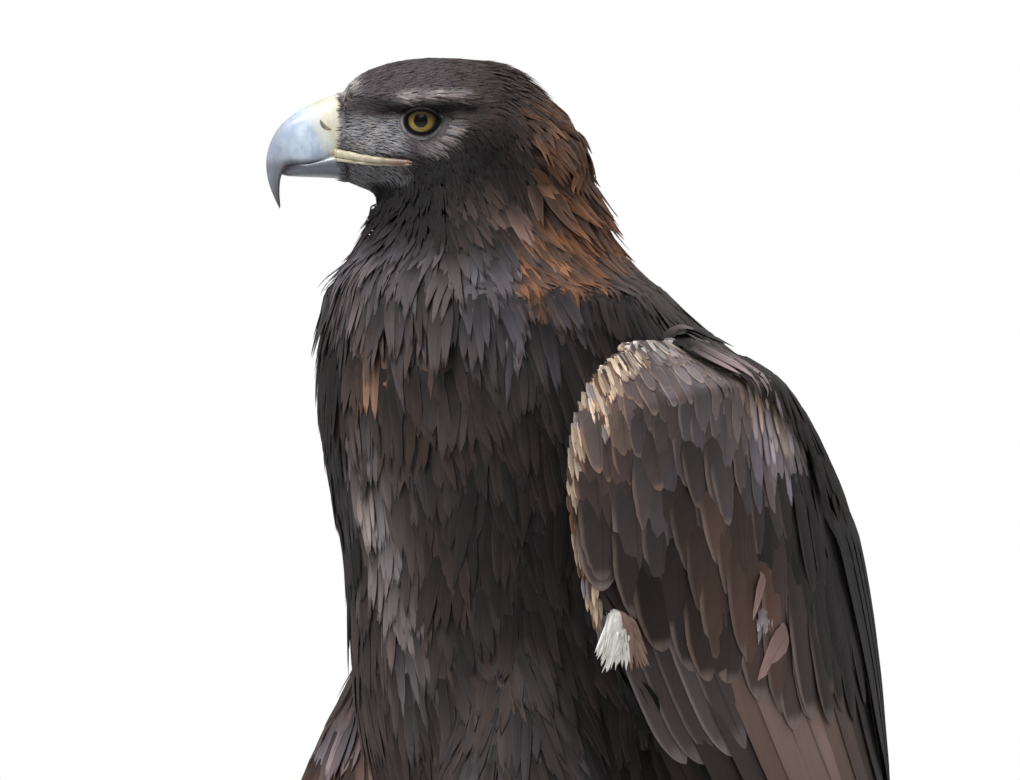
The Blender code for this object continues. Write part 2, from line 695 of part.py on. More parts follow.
def make_wing(name, seed, drawn):
    surface = functools.partial(wing_point, drawn=drawn)
    wing = wing_core(surface)
    wing.name = name
    boolean(wing, "UNION", wing_feathers(surface, seed))
    boolean(wing, "DIFFERENCE", [make_torso("torso_cutter", GAP)])
    grown = [(x, y, z, w + GAP / MM, d + GAP / MM) for x, y, z, w, d in THIGH_SECTIONS]
    boolean(wing, "DIFFERENCE", [limb("thigh_cutter", grown, 16, "plumage", 14)])
    return wing


def make_tail():
    """The rump and the folded fan of twelve tail feathers, which lies on the floor at its end."""
    rings = []
    for share in spread(6):
        y, z = spline(((76, 282), (100, 248), (126, 212), (142, 190)), share)
        side, deep = spline(((34, 34), (32, 27), (27, 17), (24, 12)), share)
        fore = Vector((0, 0.77, 0.64))
        rings.append(oval(Vector((0, y - 4, z - 4)) * MM, Vector((1, 0, 0)), fore, side * MM, deep * MM, 14))
    tail = loft("tail", rings, "tail")
    draw = random.Random(SEED + 5)
    feathers = []
    for k in range(RECTRIX_PAIRS):
        for side in (-1, 1):
            across = 0.5 + side * (k + 0.5) / (2 * RECTRIX_PAIRS) * 0.84
            depth = -1.8 * k - (0.0 if side > 0 else 0.9)
            heights = [h * MM for h in (depth, depth, depth)]
            length = (300 - 3.0 * k + 3 * draw.random()) * MM
            feathers.append(vane(tail_point, (0.10, across), length, 36 * MM, ROUND_TIP, heights, 0.0, thickness=0.6 * MM))
    for layer, base, length, lift in (("upper", 0.05, 92, 3.4), ("under", 0.08, 104, -14.0)):
        for across in spread(3, 0.25, 0.75):
            sunk = lift - 5 if lift > 0 else lift + 6
            heights = [h * MM for h in (sunk, lift, lift)]
            feathers.append(vane(tail_point, (base, across), length * MM, 22 * MM, SHORT_TIP, heights, 0.0, name=layer))
    boolean(tail, "UNION", feathers)
    boolean(tail, "DIFFERENCE", [make_torso("torso_cutter", GAP)])
    return tail


def limb(name, sections, count, colour, steps):
    rings = []
    for t in spread(steps):
        x, y, z, wide, deep = spline(sections, t)
        rings.append(oval(Vector((x, y, z)) * MM, Vector((1, 0, 0)), Vector((0, 1, 0)), wide * MM, deep * MM, count))
    return loft(name, rings, colour)


def make_leg():
    """The left leg's thick feathered thigh and feathered shank."""
    thigh = limb("thigh_left", THIGH_SECTIONS, 16, "plumage", 14)
    boolean(thigh, "DIFFERENCE", [make_torso("torso_cutter", GAP)])
    slab_cut(thigh, Vector((0, 0, ANKLE_CUT * MM + GAP / 2)), -UP)
    tarsus = limb("tarsus_left", TARSUS_SECTIONS, 12, "tarsus", 7)
    slab_cut(tarsus, Vector((0, 0, ANKLE_CUT * MM - GAP / 2)), UP)
    thigh.data.shade_smooth()
    tarsus.data.shade_smooth()
    return thigh, tarsus


def toe_end(heading, length, radius):
    """Where a toe ends, and the way it points, on a foot whose toes spread from FOOT_CENTRE."""
    turn = math.radians(heading)
    ahead = Vector((math.sin(turn), -math.cos(turn), 0))
    centre = Vector(FOOT_CENTRE) * MM
    return centre + ahead * (length * MM) - UP * (FOOT_CENTRE[2] - radius * 0.80) * MM, ahead


def make_foot():
    """The left foot: palm and four toes as one solid with flat soles, and its claws."""
    centre = Vector(FOOT_CENTRE) * MM
    axes = ((Vector((1, 0, 0)), PALM_SIZE[0] * MM), (Vector((0, 1, 0)), PALM_SIZE[1] * MM), (UP, PALM_SIZE[2] * MM))
    foot = ellipsoid("foot_left", centre, axes, "toe", 12, 8)
    toes, claws = [], []
    for name, heading, length, radius, claw_length, claw_radius in TOES:
        end, ahead = toe_end(heading, length, radius)
        side = UP.cross(ahead)
        rings = []
        for share, size, rise in TOE_PROFILE:
            middle = centre + (end - centre) * share
            middle.z = (radius * 0.80 + rise) * MM
            rings.append(oval(middle, side, UP, radius * size * MM, radius * size * 0.95 * MM, 8))
        toes.append(loft("toe", rings, "toe"))
        rings = []
        for share in spread(7):
            angle = share * 1.25
            reach = math.sin(angle) / math.sin(1.25) * claw_length
            drop = (1 - math.cos(angle)) / (1 - math.cos(1.25)) * (radius * 0.80 + 1.0 - 0.7)
            middle = end + ahead * (0.35 + reach) * MM
            middle.z = (radius * 0.80 + 1.6 - drop) * MM
            lie = (ahead * math.cos(angle) - UP * math.sin(angle) * 0.6).normalized()
            fore = side.cross(lie).normalized()
            size = claw_radius * (1 - share) ** 0.8 + 0.45
            rings.append(oval(middle, side, -fore, size * 0.8 * MM, size * MM, 6))
        claws.append(loft("claw_left_" + name, rings, "claw"))
    boolean(foot, "UNION", toes, "EXACT")
    tarsus = limb("tarsus_cutter", [(x, y, z, w + GAP / MM, d + GAP / MM) for x, y, z, w, d in TARSUS_SECTIONS], 12, "toe", 7)
    boolean(foot, "DIFFERENCE", [tarsus], "EXACT")
    slab_cut(foot, Vector((0, 0, 0)), -UP)
    keep_largest(foot)
    for claw in claws:
        slab_cut(claw, Vector((0, 0, 0)), -UP)
        claw.data.shade_smooth()
    foot.data.shade_smooth()
    return [foot] + claws


def stand_on_origin():
    """Hangs every solid on an empty that puts the middle of the whole bird's box over the origin."""
    bpy.context.view_layer.update()
    nodes = [o for o in bpy.context.scene.objects if o.type == "MESH"]
    corners = [o.matrix_world @ v.co for o in nodes for v in o.data.vertices]
    middle = [(min(c[k] for c in corners) + max(c[k] for c in corners)) / 2 for k in (0, 1)]
    stand = bpy.data.objects.new("stand_point", None)
    stand.location = (-middle[0], -middle[1], 0)
    bpy.data.collections["golden_eagle"].objects.link(stand)
    for obj in nodes:
        obj.parent = stand


def main():
    clear_scene()
    make_eyes()
    make_head()
    make_bill()
    make_neck()
    make_torso()
    make_wing("wing_left", SEED, 0.0)
    right = make_wing("wing_right_pattern", SEED + 1, 1.0)
    mirrored(right, "wing_right")
    bpy.data.objects.remove(right)
    make_tail()
    for obj in [*make_leg(), *make_foot()]:
        mirrored(obj, obj.name.replace("left", "right"))
    stand_on_origin()


main()
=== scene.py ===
"""The looks of a life-size golden eagle: a skin over the flesh, feathers as thin solids, bill, eyes and feet.

Tables are in millimetres in the bird's own frame, where +Z is up, the bird faces -Y and its left is at +X.
SHIFT, read from the frame, carries that frame to the model's. Colours are as a camera gives them, 0 to 255.
"""

import itertools
import math
import random

import bmesh
import bpy
import numpy as np
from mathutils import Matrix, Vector
from mathutils.bvhtree import BVHTree
from mathutils.kdtree import KDTree


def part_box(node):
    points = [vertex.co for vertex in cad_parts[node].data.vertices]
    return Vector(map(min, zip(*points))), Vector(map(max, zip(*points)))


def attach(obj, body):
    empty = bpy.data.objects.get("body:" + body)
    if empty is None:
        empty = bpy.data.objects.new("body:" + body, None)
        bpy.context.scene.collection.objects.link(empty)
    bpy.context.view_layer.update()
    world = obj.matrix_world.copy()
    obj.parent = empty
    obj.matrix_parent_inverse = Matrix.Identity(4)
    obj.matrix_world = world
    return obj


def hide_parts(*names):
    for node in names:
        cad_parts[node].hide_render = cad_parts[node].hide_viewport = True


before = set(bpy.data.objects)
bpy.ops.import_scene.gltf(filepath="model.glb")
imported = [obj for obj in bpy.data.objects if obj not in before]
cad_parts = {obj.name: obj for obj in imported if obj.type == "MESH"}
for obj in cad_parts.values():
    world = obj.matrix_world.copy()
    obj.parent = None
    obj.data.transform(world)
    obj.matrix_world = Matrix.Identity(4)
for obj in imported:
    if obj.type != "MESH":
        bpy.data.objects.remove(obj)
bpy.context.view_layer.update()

MM = 0.001
UP = Vector((0, 0, 1))
SEED = 23

HEAD_TURN = math.radians(35)
HEAD_ORIGIN = Vector((-17.2, -49.0, 588.0)) * MM
FORWARD = Vector((-math.sin(HEAD_TURN), -math.cos(HEAD_TURN), 0))
LEFT = UP.cross(FORWARD)
EYE_RADIUS = 10.5 * MM
EYE_SIDE = 16.2
EYE_FORWARD = math.radians(10)
EYE_PLACE = (-1.0, -0.8)

low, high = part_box("eye_left")
SHIFT = (low + high) / 2 - HEAD_ORIGIN - LEFT * EYE_SIDE * MM

# Forward, crown, jaw and half width of the head's sections.
HEAD_SECTIONS = (
    (36.0, 9.5, -26.0, 11.5),
    (31.0, 17.5, -28.5, 14.5),
    (23.0, 22.5, -31.5, 18.5),
    (12.0, 25.8, -34.5, 23.0),
    (0.0, 27.3, -38.0, 26.8),
    (-14.0, 27.2, -42.0, 29.6),
    (-28.0, 25.5, -46.0, 31.0),
    (-42.0, 20.5, -46.0, 30.5),
    (-54.0, 12.0, -42.0, 27.5),
    (-64.0, 2.0, -34.0, 20.0),
)
# Half the opening between the lids: sideways, up and down.
LID_OPENING = (6.4, 3.9, 5.0)
# The lid's rounded rim: angle beyond the opening, distance from the eye's centre, and how pale it is.
LID_RIM = ((0.10, 10.2, 0), (0.0, 10.5, 0), (-0.02, 10.95, 0), (0.01, 11.35, 0), (0.06, 11.6, 0), (0.11, 11.6, 0.1))
# The bony ridge over the eye: forward, up, to the side, and its radius.
BROW_RIDGE = (
    (34.0, 10.5, 10.0, 1.2),
    (25.0, 9.6, 15.6, 2.6),
    (14.0, 8.8, 20.4, 3.5),
    (4.0, 8.2, 22.8, 3.9),
    (-6.0, 7.8, 23.9, 3.9),
    (-15.0, 7.0, 24.6, 3.4),
    (-25.0, 5.5, 25.6, 2.2),
)
GAPE_CORNER = (4.5, -19.6)
GAPE_FRONT = (38.0, -16.0)
# The bill's sections: culmen forward and up, lower edge forward and up, half width.
BILL_SECTIONS = (
    (33.5, 10.8, 33.5, -15.0, 11.2),
    (40.0, 9.8, 38.5, -15.2, 10.9),
    (48.0, 6.6, 42.5, -17.0, 10.0),
    (56.2, 1.8, 46.5, -18.9, 8.8),
    (62.0, -3.6, 50.5, -19.6, 7.4),
    (65.8, -10.6, 54.5, -19.2, 6.1),
    (67.3, -18.0, 58.5, -20.4, 4.7),
    (66.6, -25.5, 61.0, -24.8, 3.4),
    (64.4, -32.2, 61.6, -31.0, 2.2),
    (61.6, -38.2, 61.2, -37.2, 0.8),
)
CERE_EDGE_TOP = (48.6, 6.8)
CERE_EDGE_FOOT = (37.4, -16.5)
# The nostril's slit: its place, half lengths along, across and inward, and how far its ends bend.
NOSTRIL = (42.2, -3.4, 10.4)
NOSTRIL_SIZE = (3.4, 0.95, 3.2)
NOSTRIL_BEND = 1.1
LOWER_BILL_SECTIONS = (
    (33.5, -14.4, -26.2, 9.5),
    (38.0, -13.6, -25.2, 9.0),
    (44.0, -15.6, -24.8, 7.8),
    (50.0, -17.4, -24.6, 6.2),
    (54.5, -17.2, -24.4, 4.6),
    (58.0, -18.4, -24.2, 2.6),
    (60.4, -20.6, -23.6, 0.9),
)
# Centre x, y, z, half depth, half width, tilt and turn of the neck's sections, degrees.
NECK_SECTIONS = (
    (-9.7, -38.4, 577.0, 44.6, 30.5, -34.0, 35.0),
    (-7.5, -35.5, 568.0, 45.6, 34.0, -27.5, 32.5),
    (-5.7, -32.6, 559.0, 47.5, 37.5, -21.0, 30.0),
    (-4.0, -30.6, 548.0, 51.5, 42.5, -12.5, 24.0),
    (-2.0, -29.0, 534.5, 57.0, 50.5, -6.0, 16.0),
    (0.0, -26.5, 521.0, 67.5, 63.0, -2.5, 8.0),
    (0.0, -21.5, 510.0, 74.7, 78.0, 0.0, 0.0),
)
# Height, breast, back and half width of the torso's level sections.
TORSO_LEVELS = (
    (510.0, -96.2, 53.2, 78.0),
    (490.0, -102.0, 84.0, 85.0),
    (475.0, -103.5, 103.0, 89.0),
    (455.0, -102.0, 117.0, 91.0),
    (430.0, -98.5, 128.0, 91.0),
    (400.0, -92.5, 136.0, 89.0),
    (370.0, -91.0, 140.0, 85.0),
    (340.0, -89.5, 139.0, 80.0),
    (310.0, -82.0, 132.0, 72.0),
    (280.0, -62.0, 122.0, 60.0),
    (255.0, -34.0, 114.0, 45.0),
    (236.0, 2.0, 106.0, 29.0),
    (224.0, 32.0, 94.0, 12.0),
)
# The folded wing's edges, from its top to its tip: x, y, z.
WING_FRONT_EDGE = (
    (88, -2, 492), (95, -28, 489), (101, -47, 476), (105, -58, 458), (107, -61, 435),
    (109, -58, 408), (110, -50, 380), (110, -38, 350), (108, -18, 318), (104, 10, 283),
    (98, 48, 240), (88, 98, 190), (73, 165, 138), (56, 243, 99), (36, 310, 64),
)
WING_REAR_EDGE = (
    (88, -2, 492), (79, 24, 493), (68, 52, 484), (57, 80, 471), (47, 104, 455),
    (39, 124, 434), (32, 140, 409), (26, 152, 380), (22, 160, 348), (19, 165, 312),
    (17, 172, 270), (17, 188, 222), (20, 218, 168), (28, 262, 117), (36, 310, 64),
)
WING_DRAWN = (-13, 24, 0)
WING_BULGE = 30 * MM
WING_CORE_END = 0.56
WING_CORE_DEPTH = (24 * MM, 11 * MM)
TAIL_LINE = ((98, 252), (136, 196), (186, 138), (242, 82), (294, 38), (336, 9))
TAIL_HALF_WIDTH = (17 * MM, 52 * MM)
TAIL_SAG = 5 * MM
RUMP_LINE = ((76, 282, 34, 34), (100, 248, 32, 27), (126, 212, 27, 17), (142, 190, 24, 12))
# Centre x, y, z, half width and half depth of the left leg's sections.
THIGH_SECTIONS = (
    (42, -32, 384, 12, 12), (46, -36, 362, 21, 22), (49, -39, 338, 30, 31), (51, -42, 312, 39, 40),
    (54, -46, 285, 43, 45), (56, -45, 262, 44, 46), (58, -37, 238, 42, 43), (60, -22, 212, 37, 37),
    (61, -3, 188, 34, 36), (62, 14, 165, 30, 32), (62, 28, 144, 25, 27), (62, 37, 126, 21, 23),
)
TARSUS_SECTIONS = (
    (62, 38, 128, 20.4, 22.4), (62, 35, 104, 18, 19.5), (62, 28, 78, 16, 17.5), (62, 20, 52, 15.2, 16.4),
    (62, 14.5, 28, 15.4, 16.4), (62, 12, 16, 13, 14),
)
FOOT_CENTRE = (62, 11, 14)
PALM_SIZE = (17, 18, 15)
# Each toe's heading in degrees, length and radius, and its claw's length and radius.
TOES = (
    ("inner", -38.0, 50.0, 8.6, 37.0, 5.0),
    ("middle", -4.0, 64.0, 8.4, 31.0, 4.4),
    ("outer", 32.0, 52.0, 7.8, 26.0, 4.0),
    ("hind", 172.0, 38.0, 9.2, 44.0, 5.6),
)
TOE_PROFILE = ((0.0, 1.0, 4.0), (0.42, 1.1, 1.6), (0.6, 0.9, 0.8), (0.8, 1.06, 0.6), (1.0, 0.62, 1.0))
CLAW_BEND = 1.25

# How far the skin lies inside the solids, in millimetres.
COAT = {"head": 1.4, "neck": 5.0, "body": 7.5, "wing": 2.5, "thigh": 6.5, "shank": 3.5, "rump": 5.0}
SKIN_VOXEL = 2.3 * MM
# How many roots are tried for each that the spacing leaves room for.
TRIES = 3.2
# Hollows down the back of skull and neck: height, reach and depth.
NAPE_HOLLOWS = ((594, 14, 4.5), (526, 10, 1.5))


def spline(rows, t):
    """The row at t, from 0 to 1, on a smooth curve through evenly spaced rows, and straight on beyond."""
    rows = np.asarray(rows, float)
    place = t * (len(rows) - 1)
    if t <= 0:
        return rows[0] + (rows[1] - rows[0]) * place
    if t >= 1:
        return rows[-1] + (rows[-1] - rows[-2]) * (place - len(rows) + 1)
    k = min(int(place), len(rows) - 2)
    x = place - k
    before = rows[k - 1] if k > 0 else 2 * rows[0] - rows[1]
    after = rows[k + 2] if k + 2 < len(rows) else 2 * rows[-1] - rows[-2]
    a, b = rows[k], rows[k + 1]
    bend = 2 * before - 5 * a + 4 * b - after + x * (3 * (a - b) + after - before)
    return a + 0.5 * x * (b - before + x * bend)


def spread(count, low=0.0, high=1.0):
    return [low + (high - low) * k / (count - 1) for k in range(count)]


def ease(x, start, end):
    """0 before start and 1 after end, with a smooth rise between them. start may be the larger."""
    t = np.clip((np.asarray(x, float) - start) / (end - start), 0, 1)
    return t * t * (3 - 2 * t)


def unit(vectors):
    return vectors / np.maximum(np.linalg.norm(vectors, axis=-1, keepdims=True), 1e-9)


def paint(red, green, blue):
    """A camera colour, 0 to 255, as linear light."""
    shares = np.array((red, green, blue)) / 255
    return np.where(shares <= 0.04045, shares / 12.92, ((shares + 0.055) / 1.055) ** 2.4)


def head_point(forward, up, left=0.0):
    return HEAD_ORIGIN + (FORWARD * forward + UP * up + LEFT * left) * MM


def round_steps(count):
    """The cosine and the sine of even steps once round."""
    angles = [2 * math.pi * k / count for k in range(count)]
    return [(math.cos(angle), math.sin(angle)) for angle in angles]


def oval(centre, side, fore, half_side, half_fore, count, power=2.0):
    ring = []
    for c, s in round_steps(count):
        x = math.copysign(abs(c) ** (2 / power), c) * half_side
        y = math.copysign(abs(s) ** (2 / power), s) * half_fore
        ring.append(Vector(centre) + Vector(side) * x + Vector(fore) * y)
    return ring


def pebble(centre, axes, sizes, rows, reach, count, bend=0.0):
    """Rings of an ellipsoid along the first of its axes. sizes are its half lengths in millimetres."""
    rings = []
    for t in spread(rows, -reach, reach):
        size = math.sqrt(1 - t * t)
        middle = centre + axes[0] * (t * sizes[0] * MM) + axes[1] * (bend * t * t * MM)
        rings.append(oval(middle, axes[1], axes[2], sizes[1] * size * MM, sizes[2] * size * MM, count))
    return rings


def loft_mesh(rings):
    """Points and faces of a closed solid through rings of the same count."""
    count = len(rings[0])
    points = [p for ring in rings for p in ring]
    faces = [tuple(range(count))]
    for r in range(len(rings) - 1):
        for k in range(count):
            n = (k + 1) % count
            faces.append((r * count + k, (r + 1) * count + k, (r + 1) * count + n, r * count + n))
    faces.append(tuple(reversed(range((len(rings) - 1) * count, len(rings) * count))))
    return points, faces


def put_in_scene(name, data):
    """A new object that shows data."""
    obj = bpy.data.objects.new(name, data)
    bpy.context.scene.collection.objects.link(obj)
    return obj


def mesh_from(name, work):
    mesh = bpy.data.meshes.new(name)
    work.to_mesh(mesh)
    work.free()
    return mesh


def turn_outwards(mesh):
    work = bmesh.new()
    work.from_mesh(mesh)
    bmesh.ops.recalc_face_normals(work, faces=work.faces)
    work.to_mesh(mesh)
    work.free()


def make_object(name, points, faces):
    """An object whose points are given in the bird's frame and kept in the model's."""
    mesh = bpy.data.meshes.new(name)
    mesh.from_pydata([tuple(Vector(p) + SHIFT) for p in points], [], faces)
    turn_outwards(mesh)
    mesh.shade_smooth()
    return put_in_scene(name, mesh)


def loft(name, rings):
    return make_object(name, *loft_mesh(rings))


def evaluated(obj):
    """Replaces the object's mesh with what its modifiers make of it."""
    graph = bpy.context.evaluated_depsgraph_get()
    made = bpy.data.meshes.new_from_object(obj.evaluated_get(graph))
    obj.modifiers.clear()
    old, obj.data = obj.data, made
    bpy.data.meshes.remove(old)


def soften(obj, rounds, group=""):
    step = obj.modifiers.new("soften", "SMOOTH")
    step.iterations = rounds
    step.vertex_group = group
    evaluated(obj)


def fuse(name, pieces, voxel, rounds=3, body_rounds=0, body_top=0.0):
    """One smooth surface round overlapping closed pieces, smoother still below body_top."""
    work = bmesh.new()
    for piece in pieces:
        work.from_mesh(piece.data)
        bpy.data.objects.remove(piece)
    obj = put_in_scene(name, mesh_from(name, work))
    remesh = obj.modifiers.new("remesh", "REMESH")
    remesh.mode = "VOXEL"
    remesh.voxel_size = voxel
    soften(obj, rounds)
    if body_rounds:
        group = obj.vertex_groups.new(name="body")
        for vertex in obj.data.vertices:
            share = ease(vertex.co.z - SHIFT.z, body_top, body_top - 0.04)
            if share > 0:
                group.add([vertex.index], share, "REPLACE")
        soften(obj, body_rounds, "body")
        obj.vertex_groups.clear()
    obj.data.shade_smooth()
    return obj


def finish_piece(obj, nodes, material):
    obj.data.materials.clear()
    obj.data.materials.append(material)
    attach(obj, "root")
    if nodes:
        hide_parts(*nodes)


# Surfaces that feathers follow.


def body_ring(row, count, grown=0.0):
    x, y, z, depth, width, tilt, turn = row
    turn, tilt = math.radians(turn), math.radians(tilt)
    ahead = Vector((-math.sin(turn), -math.cos(turn), 0))
    side = UP.cross(ahead)
    fore = ahead * math.cos(tilt) + UP * math.sin(tilt)
    return oval(Vector((x, y, z)) * MM, side, -fore, (width + grown) * MM, (depth + grown) * MM, count)


def wing_point(along, across, drawn=0.0):
    """A point on the left wing's outer surface: along from its top to its tip, across from front to rear."""
    front, rear = Vector(spline(WING_FRONT_EDGE, along)), Vector(spline(WING_REAR_EDGE, along))
    front += Vector(WING_DRAWN) * (drawn * math.sin(math.pi * min(along / 0.62, 1.0)))
    chord = rear - front
    out = Vector((chord.y, -chord.x, 0.35 * chord.length)).normalized()
    full = min(1.0, (chord.length / 150.0) ** 2)
    return (front + chord * across) * MM + out * (WING_BULGE * full * 4 * across * (1 - across))


def tail_point(along, across):
    y, z = spline(TAIL_LINE, along)
    ahead = Vector(spline(TAIL_LINE, along + 0.02)) - Vector(spline(TAIL_LINE, along - 0.02))
    ahead.normalize()
    half = TAIL_HALF_WIDTH[0] + (TAIL_HALF_WIDTH[1] - TAIL_HALF_WIDTH[0]) * along
    share = 2 * across - 1
    sag = TAIL_SAG * share * share
    return Vector((half * share, y * MM + ahead.y * sag, z * MM - abs(ahead.x) * sag))


def frame_on(surface, along, across, step=0.004):
    here = surface(along, across)
    down = (surface(along + step, across) - surface(along - step, across)) / (2 * step)
    over = (surface(along, across + step) - surface(along, across - step)) / (2 * step)
    normal = down.cross(over).normalized()
    return here, down.normalized(), over.normalized(), normal, down.length, over.length


# The skin.


def head_ring(row, count=72):
    """A section of the head, full at brow and cheek, drawn in under the brow, round the eye and at the lores."""
    ahead, crown, jaw, width = row
    middle, half = (crown + jaw) / 2, (crown - jaw) / 2
    near_eye = math.exp(-(((ahead - 6.0) / 15.0) ** 2))
    lores = math.exp(-(((ahead - 24.0) / 8.0) ** 2))
    brow_line = math.exp(-(((ahead - 8.0) / 22.0) ** 2))
    brow_up = 10.2 - 0.06 * (ahead - 8.0)
    ring = []
    for c, s in round_steps(count):
        up = middle + half * s
        across = abs(c) ** 0.92 * width
        brow = 2.0 * brow_line * math.exp(-(((up - brow_up) / 2.8) ** 2))
        hollow = 4.4 * near_eye * math.exp(-(((up + 0.5) / 7.0) ** 2))
        sunk = 2.4 * lores * math.exp(-(((up + 4.0) / 8.0) ** 2))
        across += (brow - hollow - sunk) * min(1.0, abs(c) * 1.6)
        inset = COAT["head"]
        across = max(across - inset, 0.3)
        height = up - inset * s
        ring.append(head_point(ahead, height, math.copysign(across, c)))
    return ring


def wing_core(drawn):
    rings = []
    for along in spread(40, 0.03, WING_CORE_END):
        share = along / WING_CORE_END
        depth = WING_CORE_DEPTH[0] + (WING_CORE_DEPTH[1] - WING_CORE_DEPTH[0]) * share**1.5
        chord = (wing_point(along, 1.0, drawn) - wing_point(along, 0.0, drawn)).length
        depth = min(depth, chord * 0.5)
        outer, inner = [], []
        for q in spread(15, 0.03, 0.97):
            here, _, _, normal, _, _ = frame_on(lambda a, b: wing_point(a, b, drawn), along, q)
            near = min(q, 1 - q)
            edge = math.sqrt(max(0.0, 1 - (1 - near / 0.16) ** 2)) if near < 0.16 else 1.0
            outer.append(here - normal * (depth * 0.5 * (1 - edge) + COAT["wing"] * MM))
            inner.append(here - normal * (depth * 0.5 * (1 + edge) + COAT["wing"] * MM))
        rings.append(outer + inner[-2:0:-1])
    return rings


def mirrored(rings):
    return [[Vector((-p.x, p.y, p.z)) for p in ring] for ring in rings]


def limb(sections, coat, steps, count=36):
    rings = []
    for t in spread(steps):
        x, y, z, wide, deep = spline(sections, t)
        half = ((wide - coat) * MM, (deep - coat) * MM)
        rings.append(oval(Vector((x, y, z)) * MM, Vector((1, 0, 0)), Vector((0, 1, 0)), *half, count))
    return rings


def make_skin():
    """One closed skin from head to toes, inside the solids by the depth of the coat."""
    head = [head_ring(spline(HEAD_SECTIONS, t)) for t in spread(60)]
    neck = [body_ring(spline(NECK_SECTIONS, t), 48, -COAT["neck"]) for t in spread(24, -0.06, 1.0)]
    torso = []
    for t in spread(48):
        height, breast, back, width = spline(TORSO_LEVELS, t)
        row = (0.0, (breast + back) / 2, height, (back - breast) / 2, width, 0.0, 0.0)
        torso.append(body_ring(row, 56, -COAT["body"] * min(1.0, 4 * t + 0.66)))
    torso.insert(0, [p + UP * 0.004 for p in torso[0]])
    rump = []
    for t in spread(14):
        y, z, side, deep = spline(RUMP_LINE, t)
        centre = Vector((0, y - 4, z - 4)) * MM
        half = ((side - COAT["rump"]) * MM, (deep - COAT["rump"] * 0.7) * MM)
        rump.append(oval(centre, Vector((1, 0, 0)), Vector((0, 0.77, 0.64)), *half, 30))
    thigh = limb(THIGH_SECTIONS, COAT["thigh"], 30)
    shank = limb(TARSUS_SECTIONS, COAT["shank"], 20)
    sides = [thigh, shank, mirrored(thigh), mirrored(shank), wing_core(0.0), mirrored(wing_core(1.0))]
    for side in (1, -1):
        ridge = []
        for t in spread(40):
            ahead, up, out, radius = spline(BROW_RIDGE, t)
            ridge.append(oval(head_point(ahead, up, out * side), UP, LEFT, radius * MM, radius * MM, 20))
        sides.append(ridge)
    pieces = [loft("flesh", rings) for rings in [head, neck, torso, rump, *sides]]
    skin = fuse("skin", pieces, SKIN_VOXEL, 3, 22, 0.505)
    # The back of the skull runs into the nape in a hollow that the feathers fill.
    places = np.array([vertex.co - SHIFT for vertex in skin.data.vertices])
    behind = ease(neck_side(places), 0, 40) * ease(-head_frame(places)[0], 30, 44) * MM
    height = places[:, 2] / MM
    sunk = sum(deep * np.exp(-(((height - z) / reach) ** 2)) * behind for z, reach, deep in NAPE_HOLLOWS)
    axis = places * (1, 1, 0) - np.array(NECK_SECTIONS[0][:3]) * (MM, MM, 0)
    places = places - unit(axis) * sunk[:, None] + np.array(SHIFT)
    skin.data.vertices.foreach_set("co", places.ravel())
    return skin


def unwrap(obj):
    """Unwraps the skin by its own shape into the map named OFBake."""
    bpy.context.view_layer.objects.active = obj
    obj.select_set(True)
    obj.data.uv_layers.new(name="OFBake")
    bpy.ops.object.mode_set(mode="EDIT")
    bpy.ops.mesh.select_all(action="SELECT")
    bpy.ops.uv.smart_project(angle_limit=math.radians(66), island_margin=0.002)
    bpy.ops.object.mode_set(mode="OBJECT")
    obj.select_set(False)


def values_of(items, key, width, kind=np.float32):
    """The items' values of one key as an array with width numbers to a row."""
    found = np.empty(len(items) * width, kind)
    items.foreach_get(key, found)
    return found.reshape(-1, width)


